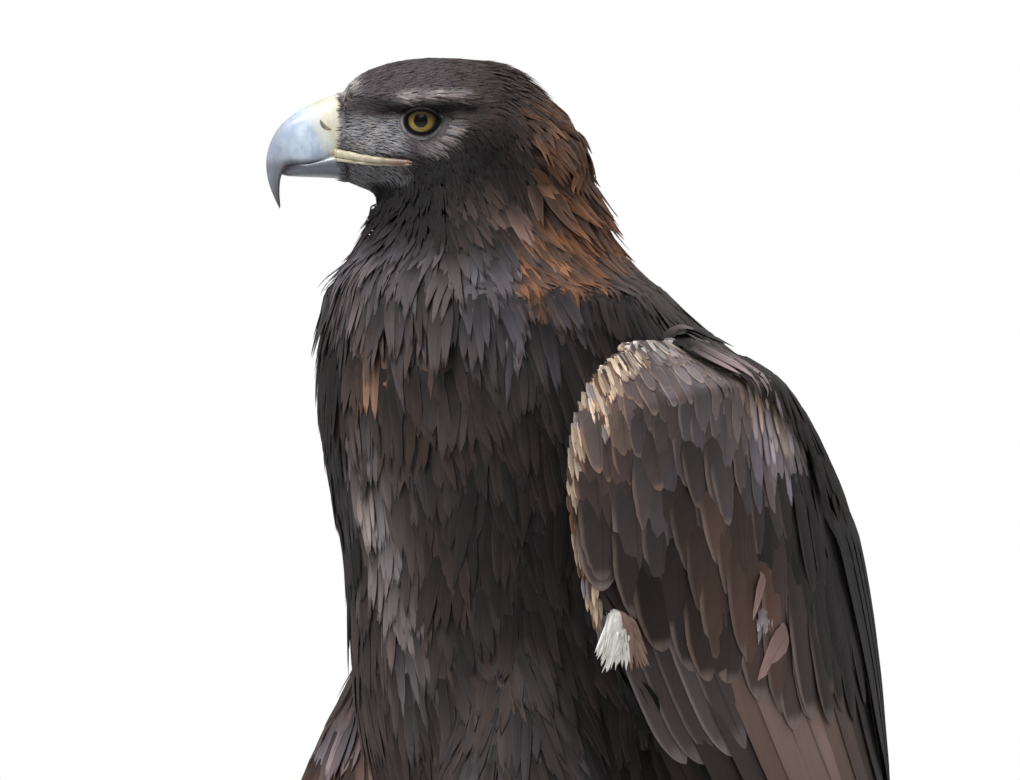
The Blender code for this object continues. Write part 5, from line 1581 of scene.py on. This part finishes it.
def make_wing(name, skin, seed, drawn, flip, looks):
    """Coverts in rows from the wrist down, flight feathers under them and the shoulder's over them."""
    draw = random.Random(seed)
    vane_look, covert_look, soft_look = looks
    rng = np.random.default_rng(seed + 2)

    def surface(along, across):
        return wing_point(along, across, drawn)

    def hung(slope, along, across, length, rows=13):
        return hang(surface, along, across, length, rows, WAY_DOWN + Vector((0.0, slope, 0.0)))

    def finish(plumes, title, step, nodes, material):
        finish_piece(plumes.build(f"{title}_{name}", skin, seed + step, flip), nodes, material)

    def blades(spine, normals, width, part):
        return split_blades(np.array([spine]), np.array([normals]), np.array([width * MM]), 3, part, rng)

    coverts = Plumes(13, 5, 1, 0.75)
    for along, length, width in COVERT_ROWS:
        chord = (surface(along + 0.02, 1.0) - surface(along + 0.02, 0.0)).length / MM
        across = 0.5 * width / chord * (0.8 + 0.4 * draw.random()) + (0.09 if flip else 0.0)
        while across < 0.97:
            streaky = ease(across, 0.42, 0.55) * ease(along, 0.36, 0.28) * ease(along, 0.10, 0.16)
            top = ease(along, 0.125, 0.085)
            wide = width * math.exp(draw.gauss(0, 0.07)) * (1 - 0.5 * streaky) * (1 - 0.35 * top)
            long = length * math.exp(draw.gauss(0, 0.07)) * (1 - 0.2 * streaky)
            start = along + draw.gauss(0, 0.0025)
            slope = draw.gauss(0, 0.05)
            spine, normals, end = hung(slope, start, across, long)
            limit = float(np.interp(end[1], *zip(*COVERT_END))) + draw.gauss(0, 0.008)
            room = (limit - start) / (end[0] - start)
            if 0.6 < room < 1:
                spine, normals, end = hung(slope, start, across, long * room)
            if room > 0.6:
                colours = wing_colours(start, across, end[0], "covert", draw)
                outline = leaf(0.5, 0.4, 1 - 1.15 * wide / long, 1.7, 0.55 + 0.25 * streaky)
                lift = (-1.6, 0.3, 1.4 + 0.012 * length + draw.gauss(0, 0.25))
                coverts.add(spine, normals, wide * MM, outline, lift, -0.1, 0.4, 0.14, colours, 0.02)
            across += wide * 0.62 / chord
    for row in range(44):
        along = 0.055 + 0.375 * row / 43
        for column in range(5 if along < 0.25 else 1):
            across = 0.004 + 0.017 * column + 0.008 * (row % 2) + (0.05 if flip else 0.0)
            spine, normals, _ = hung(0.0, along, across, 12 + 6 * draw.random())
            root, tip, rim, _ = wing_colours(along, 0.6 * across, along + 0.03, "edge", draw)
            spines, ups, widths = blades(spine, normals, 5.4 if column else 4.4, 0.15)
            light = np.exp(rng.normal(0, 0.22, 3))[:, None]
            look = (root * light, tip * light, rim * light, np.full(3, 0.3))
            outline = leaf(0.5, 0.35, 0.45, 1.6, 0.7)
            coverts.add(spines, ups, widths, outline, (-2.0, 1.0, 1.9), -0.1, 0.3, 0.14, look, 0.04)
    # Loose vanes whose pink is a painted glint.
    for along, across, length, width, slant, colour in LOOSE_GLINT_VANES:
        spine, normals, _ = hung(-slant, along, across, length)
        look = (colour * 0.55, colour, colour * 1.15, 0.35)
        outline = leaf(0.25, 0.45, 0.4, 1.3, 0.75)
        coverts.add(spine, normals, width * MM, outline, (0.4, 4.0, 3.2), -0.1, 0.4, 0.14, look, 0.02)
    finish(coverts, "coverts", 0, ["wing_" + name], covert_look)

    flights = Plumes(30, 5, 3, 0.35)
    for kind, first, slope, count, low, high, length, width, heights, tilt, step in FLIGHT_ROWS:
        for k, across in enumerate(spread(count, low, high)):
            along = first + slope * across
            spine, normals = trail(surface, along, across, length * math.exp(draw.gauss(0, 0.015)), 30)
            look = wing_colours(along, across, along + 0.1, kind, draw)
            lift = [h - step * (count - 1 - k) for h in heights]
            outline = leaf(0.45, 0.14, 0.72, 2.2, 0.7)
            flights.add(spine, normals, width * MM, outline, lift, -tilt, 0.45, 0.08, look, 0.008)
    finish(flights, "flight_feathers", 1, ["wing_" + name], vane_look)

    shoulder = Plumes(11, 3, 1, 0.6)
    for along, low, high, length, width, lift in SCAPULAR_ROWS:
        chord = (surface(along + 0.04, high) - surface(along + 0.04, low)).length / MM
        for across in spread(max(5, round(chord / (width * 0.4))), low, high):
            spot = across + draw.gauss(0, 0.01)
            long = length * math.exp(draw.gauss(0, 0.12))
            slant = 0.75 - 0.5 * ease(across, 0.55, 0.95) + draw.gauss(0, 0.06)
            way = Vector((-0.05, slant, -1.0))
            spine, normals, _ = hang(surface, along + draw.gauss(0, 0.008), spot, long, 12, way)
            lit = 0.9 * ease(across, low + 0.30, low + 0.14) * ease(along, 0.17, 0.13)
            lit *= draw.random() > 0.35
            tip = (BLACKISH * 0.65 + UMBER * 0.2) * (1 - lit) + (PINK_GLINT * 0.4 + LILAC_SHEEN * 0.7) * lit
            spines, ups, widths = blades(spine, normals, width, 0.1)
            light = math.exp(draw.gauss(0, 0.25))
            look = tuple(np.tile(c * light, (3, 1)) for c in (BLACKISH, tip, UMBER)) + (np.full(3, 0.3),)
            rise, outline = (lift - 5.5, lift - 0.6, lift + 1.0), leaf(0.6, 0.35, 0.5, 1.5, 0.7)
            shoulder.add(spines, ups, widths, outline, rise, 0.0, 0.4, 0.2, look, 0.04)
    finish(shoulder, "scapulars", 2, [], soft_look)

    down = Plumes(8, 3, 1, 0.3)
    for k in range(TUFT_STRANDS):
        share = draw.random()
        along = 0.430 + 0.022 * draw.random() + 0.03 * (share - 0.4) ** 2
        across = 0.040 + 0.030 * (share - 0.5) + (0.06 if flip else 0.0)
        slope = draw.gauss(0.0, 0.08) - 1.0 * (0.50 - share)
        spine, normals, _ = hung(slope, along, across, 11 + 8 * draw.random(), 8)
        colour = (TAN * 0.7 + PALE * 0.35 if share > 0.6 else DOWN) * math.exp(draw.gauss(0, 0.09))
        lift = (-1.0, 2.4 + 3.0 * draw.random(), 1.5 + 3.5 * draw.random())
        width = (1.5 + 1.1 * draw.random()) * MM
        look = (colour * 0.8, colour, colour, 0.0)
        outline = leaf(0.7, 0.3, 0.4, 1.4, 0.8)
        down.add(spine, normals, width, outline, lift, draw.gauss(0, 0.3), 0.35, 0.25, look, 0.06)
    along, across, length, width, slant, colour = WORN_STRANDS
    for k in range(round(length * width**0.5)):
        share, start = draw.random(), draw.random()
        aside = (share - 0.5) * width * math.sin(math.pi * (0.08 + 0.8 * start))
        spot = across + (aside - 0.65 * slant * length * start) / WING_DEPTH
        slope, reach = draw.gauss(-1.2 * slant, 0.05), length * (0.28 + 0.2 * draw.random())
        spine, normals, _ = hung(slope, along + 0.65 * start * length / WING_LENGTH, spot, reach, 8)
        light = math.exp(draw.gauss(0, 0.22))
        look = (colour * 0.55 * light, colour * light, colour * light, 0.0)
        broad = (1.5 + 1.2 * draw.random()) * MM
        lift, outline = (0.3, 4.2 - 0.8 * start, 4.0 - 1.2 * start), leaf(0.4, 0.4, 0.35, 1.4, 0.8)
        down.add(spine, normals, broad, outline, lift, 0.0, 0.3, 0.2, look, 0.06)
    finish(down, "down_tuft", 3, [], soft_look)


def make_tail(skin, vane_look):
    draw = random.Random(SEED + 40)
    plumes = Plumes(30, 5, 3, 0.35)
    pairs = 6
    for k in range(pairs):
        for side in (-1, 1):
            across = 0.5 + side * (k + 0.5) / (2 * pairs) * 0.84
            depth = -1.8 * k - (0.0 if side > 0 else 0.9)
            spine, normals = trail(tail_point, 0.10, across, 300 - 3.0 * k + 3 * draw.random(), 30)
            light = math.exp(draw.gauss(0, 0.12))
            look = (SLATE * 0.6 * light, DARK * light, UMBER * light, 0.3)
            outline, lift = leaf(0.45, 0.12, 0.8, 2.4, 0.6), (depth, depth, depth)
            plumes.add(spine, normals, 36 * MM, outline, lift, 0.0, 0.5, 0.05, look, 0.006)
    for rows, base, length, lift in TAIL_COVERT_ROWS:
        out = 1 if lift > 0 else -1
        for row in range(rows):
            for k in range(8):
                across = 0.12 + 0.76 * (k + 0.5 * (row % 2)) / 7.5
                spine, normals = trail(tail_point, base + 0.07 * row, across, length, 30, draw.gauss(0, 0.04))
                light = math.exp(draw.gauss(0, 0.15))
                look = (DARK * light, UMBER * light, BROWN * light, 0.4)
                top = lift - 0.7 * row * out
                outline, heights = leaf(0.4, 0.3, 0.55, 2.0, 0.6), (top - 6 * out, top, top)
                plumes.add(spine, normals, 19 * MM, outline, heights, 0.0, 0.4, 0.1, look, 0.02)
    finish_piece(plumes.build("tail_feathers", skin, SEED + 41), ["tail"], vane_look)


# Feet.


def toe_end(heading, length, radius):
    turn = math.radians(heading)
    ahead = Vector((math.sin(turn), -math.cos(turn), 0))
    centre = Vector(FOOT_CENTRE) * MM
    return centre + ahead * (length * MM) - UP * (FOOT_CENTRE[2] - radius * 0.80) * MM, ahead


def make_feet(toe_skin, claw_horn):
    """Toes with pads below and plates above, and long claws."""
    centre = Vector(FOOT_CENTRE) * MM
    level = (UP, Vector((1, 0, 0)), Vector((0, 1, 0)))
    for name in ("left", "right"):
        sided = mirrored if name == "right" else list
        solids = [pebble(centre, level, (PALM_SIZE[2], PALM_SIZE[0], PALM_SIZE[1]), 17, 0.985, 28)]
        for title, heading, length, radius, claw_length, claw_radius in TOES:
            end, ahead = toe_end(heading, length, radius)
            side = UP.cross(ahead)
            rings = []
            for t in spread(34):
                share, size, rise = spline(TOE_PROFILE, t)
                middle = centre + (end - centre) * share
                middle.z = (radius * 0.80 + rise) * MM
                rings.append(oval(middle, side, UP, radius * size * MM, radius * size * 0.95 * MM, 20))
            solids.append(rings)
            for k in range(5):
                middle = centre + (end - centre) * (0.5 + 0.11 * k)
                middle.z = (radius * 1.42) * MM
                sizes = (2.6, radius * 0.62, radius * 0.36)
                solids.append(pebble(middle, (ahead, side, UP), sizes, 7, 0.95, 14))
            rings = []
            for t in spread(26):
                angle = t * CLAW_BEND
                reach = math.sin(angle) / math.sin(CLAW_BEND) * claw_length
                drop = (1 - math.cos(angle)) / (1 - math.cos(CLAW_BEND)) * (radius * 0.80 + 1.0 - 0.7)
                middle = end + ahead * (0.35 + reach) * MM
                middle.z = (radius * 0.80 + 1.6 - drop) * MM
                lie = (ahead * math.cos(angle) - UP * math.sin(angle) * 0.6).normalized()
                fore = side.cross(lie).normalized()
                size = claw_radius * (1 - t) ** 0.8 + 0.45
                rings.append(oval(middle, side, -fore, size * 0.8 * MM, size * MM, 20))
            claw = loft(f"claw_{name}_{title}_horn", sided(rings))
            cut_flat(claw, Vector((0, 0, 0)), -UP)
            finish_piece(claw, [f"claw_{name}_{title}"], claw_horn)
        foot = fuse("toes_" + name, [loft("toe_part", sided(rings)) for rings in solids], 1.3 * MM, 2)
        cut_flat(foot, Vector((0, 0, 0)), -UP)
        finish_piece(foot, ["foot_" + name], toe_skin)


# The setting.

PHOTO_WIDTH = 1020
PIXEL = 0.43 * MM  # what a pixel of the photograph covers on the bird
VIEW_TURN = math.radians(55)
VIEW_CENTRE = (-12.9 * MM, 472.2 * MM)
VIEW_DISTANCE = 3.5
LIGHTS_AIM = Vector((0, 0, 0.42))


def make_camera():
    away = Vector((math.sin(VIEW_TURN), -math.cos(VIEW_TURN), 0))
    right = Vector((math.cos(VIEW_TURN), math.sin(VIEW_TURN), 0))
    data = bpy.data.cameras.new("camera")
    data.sensor_width = 36
    data.lens = data.sensor_width * VIEW_DISTANCE / (PHOTO_WIDTH * PIXEL)
    camera = put_in_scene("camera", data)
    camera.location = SHIFT + right * VIEW_CENTRE[0] + UP * VIEW_CENTRE[1] + away * VIEW_DISTANCE
    camera.rotation_euler = away.to_track_quat("Z", "Y").to_euler()
    bpy.context.scene.camera = camera
    return away, right


def make_light(name, place, size, power, colour=(1, 1, 1)):
    data = bpy.data.lights.new(name, "AREA")
    data.shape = "DISK"
    data.size = size
    data.energy = power
    data.color = colour
    lamp = put_in_scene(name, data)
    lamp.location = place
    lamp.rotation_euler = (place - LIGHTS_AIM).to_track_quat("Z", "Y").to_euler()


def make_setting(away, right):
    work = bmesh.new()
    bmesh.ops.create_circle(work, cap_ends=True, segments=96, radius=5.0)
    mesh = mesh_from("floor", work)
    mesh.materials.append(Finish("floor_matt", (0.8, 0.8, 0.8), 0.8).made)
    put_in_scene("floor", mesh)
    world = bpy.data.worlds.new("studio")
    bpy.context.scene.world = world
    world.use_nodes = True
    studio = Tree(world.node_tree)
    background = studio.nodes["Background"].inputs
    background["Color"].default_value = (1, 1, 1, 1)
    strength = studio.add("MapRange")
    strength.inputs["To Min"].default_value = 0.3
    strength.inputs["To Max"].default_value = 1.0
    studio.links.new(studio.add("LightPath").outputs["Is Camera Ray"], strength.inputs["Value"])
    studio.links.new(strength.outputs[0], background["Strength"])
    make_light("key", away * 0.9 - right * 1.3 + UP * 2.6, 1.3, 78)
    make_light("back", away * -1.2 + right * 1.5 + UP * 2.2, 1.2, 30, (1.0, 0.95, 0.95))
    make_light("front", away * 2.4 - right * 0.9 + UP * 1.6, 1.2, 5)


def lid_distance(points):
    """Under 1 where the lids lie and above 1 outside them."""
    f, u, l = head_frame(points)
    f, u = f - EYE_PLACE[0], u - EYE_PLACE[1]
    near = np.hypot(f / 9.6, u / np.where(u > 0, 4.7, 9.0))
    return np.where(np.abs(l) < 12, 9.0, near)


class UnderWing:
    """Tells which places on the skin the folded wings cover."""

    def __init__(self):
        self.trees = []
        for drawn in (0.0, 1.0):
            places, inside = [], []
            for along in spread(60, 0.0, 0.62):
                for across in spread(30, 0.0, 1.0):
                    places.append(wing_point(along, across, drawn))
                    inside.append(0.075 < along < 0.61 and 0.05 < across < 0.93)
            tree = KDTree(len(places))
            for k, place in enumerate(places):
                tree.insert(place, k)
            tree.balance()
            self.trees.append((tree, inside))

    def __call__(self, points):
        found = np.zeros(len(points), bool)
        for k, point in enumerate(points):
            tree, inside = self.trees[0 if point[0] >= 0 else 1]
            _, index, away = tree.find((abs(point[0]), point[1], point[2]))
            found[k] = inside[index] and away < (24 if point[2] > 0.33 else 40) * MM
        return found


def make_bristles(skin, bill_tree, small):
    """The finest feathers of the face, that point forward over the cere's rear border."""
    draw = np.random.default_rng(SEED + 81)

    def border(p):
        f = head_frame(p)[0]
        return (on_head(p) > 0.5) & (f > 30.0) & (f < 34.2)

    roots = skin.scatter(border, lambda p: 0.55 * MM + 0 * p[:, 0], SEED + 82)
    spines, normals = [], []
    for root in roots:
        f, u, l = (float(v[0]) for v in head_frame(root[None, :]))
        swing = math.atan2(u + 5, l) + draw.normal(0, 0.02)
        length = 1.8 + 2.0 * draw.random() ** 2
        out = LEFT * math.cos(swing) + UP * math.sin(swing)
        spine = []
        for k in range(5):
            axis = head_point(f + length * k / 4, -5)
            best = 0.0
            for reach in (0.0, 0.9):
                for tree in (skin.tree, bill_tree):
                    place = axis + FORWARD * reach * MM
                    hit = tree.ray_cast(place + out * 0.05, -out, 0.06)[0]
                    if hit is not None:
                        best = max(best, (hit - place).dot(out))
            spine.append(tuple(axis + out * (best + (0.1 + 0.1 * k) * MM)))
            swing += draw.normal(0, 0.012)
            out = LEFT * math.cos(swing) + UP * math.sin(swing)
        spines.append(spine)
        normals.append([tuple(out)] * 5)
    plumes = Plumes(5, 3, 0, 0.3)
    root, tip, rim, share = varied(plumage(roots), draw, 0.25)
    width = 0.75 * MM * np.exp(draw.normal(0, 0.15, len(roots)))
    look = (root, tip, rim, share * 0)
    plumes.add(spines, normals, width, leaf(0.7, 0.3, 0.3, 1.2), (-0.4, 0.1, 0.25), 0.0, 0.12, 0.2, look, 0.05)
    finish_piece(plumes.build("coat_bristles", skin, SEED + 83), [], small)


def make_coat(skin, soft, small, bill_tree):
    """The body's feathers, from the smallest on the face to the long ones of neck, breast, back and legs."""

    def z(p):
        return p[:, 2] / MM

    def below_head(p):
        return ease(-nape_line(p), 2, 42)

    def rear(p):
        return ease(-head_frame(p)[0], -4, 56)

    def face(p):
        return (on_head(p) > 0.5) & (head_frame(p)[0] < 33.5) & (lid_distance(p) > 1)

    def lores(p):
        f, u, _ = head_frame(p)
        return ease(f, 7, 14) * ease(u, 4, 0)

    def crest(p):
        f, u, _ = head_frame(p)
        return ease(-f, 16, 30) * ease(-f, 54, 44) * ease(u, 8, 20)

    def throat(p):
        return ease(neck_side(p), -5, -60) * ease(z(p), 500, 515) * ease(z(p), 572, 552)

    plant(
        ["coat_head_left", "coat_head_right"], skin, face, lambda p: 0.84 + 0.55 * rear(p) - 0.08 * lores(p),
        lambda p: 7.2 + 6.0 * rear(p) - 2.8 * lores(p), lambda p: 1.05 + 0.95 * rear(p) - 0.35 * lores(p),
        leaf(0.6, 0.3, 0.3, 1.4), (-0.5, 0.15, lambda p: 0.5 + 1.4 * rear(p) ** 2 + 1.4 * crest(p)),
        SEED + 1, "plumage", small, rows=5, thickness=0.12, varied=0.15, turn=0.1, by_head=True,
    )
    make_bristles(skin, bill_tree, small)

    def above(p):
        return below_head(p) * (1 - gold_share(p, 16.0))

    def neck_part(p):
        return (on_head(p) <= 0.5) & (p[:, 2] > 500 * MM)

    plant(
        ["coat_neck_left", "coat_neck_right"], skin, neck_part, lambda p: 1.9 + 2.5 * below_head(p),
        lambda p: 13 + 29 * below_head(p), lambda p: 2.8 + 6.6 * below_head(p),
        leaf(0.6, 0.3, 0.4, 1.4, 0.75),
        (
            -1.6, lambda p: 0.8 + 0.9 * above(p) + 2.2 * throat(p),
            lambda p: 1.6 + 1.4 * above(p) + 2.6 * throat(p),
        ),
        SEED + 11, "hackle", soft, blades=3, part=0.12, varied=0.15,
    )

    def golden(p):
        return neck_part(p) & (gold_share(p, 6.0) > 0.35)

    def hackle_colours(p):
        share = (np.exp(-(((z(p) - 540) / 22.0) ** 2)) * (0.35 + 0.65 * gold_share(p, 14.0)))[:, None]
        bright = 1 + 0.5 * ease(z(p), 548, 562)[:, None]
        tip = GOLD * share + RUFOUS * bright * (1 - share)
        dull = np.mod(np.sin(p @ (12.9, 78.2, 37.7) / MM) * 437.5, 1.0) < 0.33
        tip = blend(tip, UMBER * 1.1, 0.8 * dull)
        root, rim = (np.tile(colour, (len(p), 1)) for colour in (GOLD_DEEP * 0.6, GOLD_PALE * 0.8))
        return root, tip, rim, np.full(len(p), 0.3)

    def bushy(p):
        return ease(neck_side(p), 10, 60) * ease(z(p), 546, 560) * ease(z(p), 592, 580)

    plant(
        ["hackles_left", "hackles_right"], skin, golden, lambda p: 2.3 + 1.3 * below_head(p),
        lambda p: 14 + 18 * below_head(p), lambda p: 2.8 + 4.4 * below_head(p), leaf(0.35, 0.4, 0.3, 1.2, 0.95),
        (-1.4, lambda p: 1.2 + 3.4 * bushy(p), lambda p: 2.4 + 5.2 * bushy(p)), SEED + 15, "hackle", soft,
        rows=8, top=5, varied=0.26, turn=0.18, roll=0.3, camber=0.3, blades=2, part=0.08, colours=hackle_colours,
    )
    covered = UnderWing()

    def front(p):
        return ease(z(p), 465, 485) * ease(p[:, 1] / MM, -60, -90)

    def breast_part(p):
        return (p[:, 2] <= 500 * MM) & (p[:, 2] > 205 * MM) & (p[:, 1] < 20 * MM) & ~covered(p)

    plant(
        ["coat_breast_left", "coat_breast_right"], skin, breast_part, 6.0,
        lambda p: 46 + 6 * ease(-z(p), -450, -330), 14, leaf(0.6, 0.3, 0.5, 1.6, 0.65),
        (-2.0, lambda p: 2.0 + 1.5 * front(p), lambda p: 3.2 + 1.5 * front(p)),
        SEED + 21, "plumage", soft, blades=4, part=0.12, varied=0.15,
    )

    def back_part(p):
        return (p[:, 2] <= 500 * MM) & (p[:, 2] > 175 * MM) & (p[:, 1] >= 20 * MM) & ~covered(p)

    plant(
        ["coat_back"], skin, back_part, 6.4, 40, 15, leaf(0.6, 0.35, 0.45, 1.6), (-2.0, 2.0, 5.0), SEED + 31,
        "plumage", soft, blades=4, part=0.12, varied=0.2, turn=0.1,
    )

    def leg_part(p):
        return (p[:, 2] <= 205 * MM) & (p[:, 2] > 26 * MM) & (p[:, 1] < 90 * MM)

    def thigh(p):
        return ease(z(p), 95, 190)

    plant(
        ["coat_legs"], skin, leg_part, lambda p: 2.35 + 2.75 * thigh(p), lambda p: 12 + 22 * thigh(p),
        lambda p: 4.5 + 5.0 * thigh(p), leaf(0.6, 0.35, 0.35, 1.4), (-1.2, 0.8, lambda p: 2.0 + 3.4 * thigh(p)),
        SEED + 51, "plumage", soft, blades=2, part=0.3,
    )


def main():
    bpy.context.scene.view_settings.view_transform = "Standard"
    make_setting(*make_camera())
    skin_obj = make_skin()
    unwrap(skin_obj)
    skin = Skin(skin_obj)
    root, tip, _, _ = plumage(skin.points)
    mark(skin_obj.data, "tint", np.column_stack((root * 0.5 + tip * 0.5, np.ones(len(root)))))
    flesh = ["head", "neck", "torso", "thigh_left", "thigh_right", "tarsus_left", "tarsus_right"]
    finish_piece(skin_obj, flesh, skin_material())

    vane = make_vane_group()
    soft = feather_material("body_feathers", vane, 2.2, 7.0, 1.5, 0.0, 0.66, 0.03)
    small = feather_material("head_feathers", vane, 1.6, 3.0, 0.6, 0.0, 0.66, 0.03)
    covert_look = feather_material("covert_vanes", vane, 40.0, 3.0, 0.9, 0.25, 0.56, 0.04)
    vane_look = feather_material("flight_vanes", vane, 150.0, 4.0, 0.7, 0.5, 0.5, 0.03)
    bill_tree = make_bill(horn_material(), cere_material())
    make_gape(skin, gape_material())
    wet, lid_skin = eye_material(), lid_material()
    for side, name in ((1, "left"), (-1, "right")):
        make_eye(side, name, wet)
        make_lids(side, name, lid_skin)
    make_coat(skin, soft, small, bill_tree)
    looks = (vane_look, covert_look, soft)
    make_wing("left", skin, SEED + 61, 0.0, False, looks)
    make_wing("right", skin, SEED + 71, 1.0, True, looks)
    make_tail(skin, vane_look)
    make_feet(toe_material(), claw_material())


main()
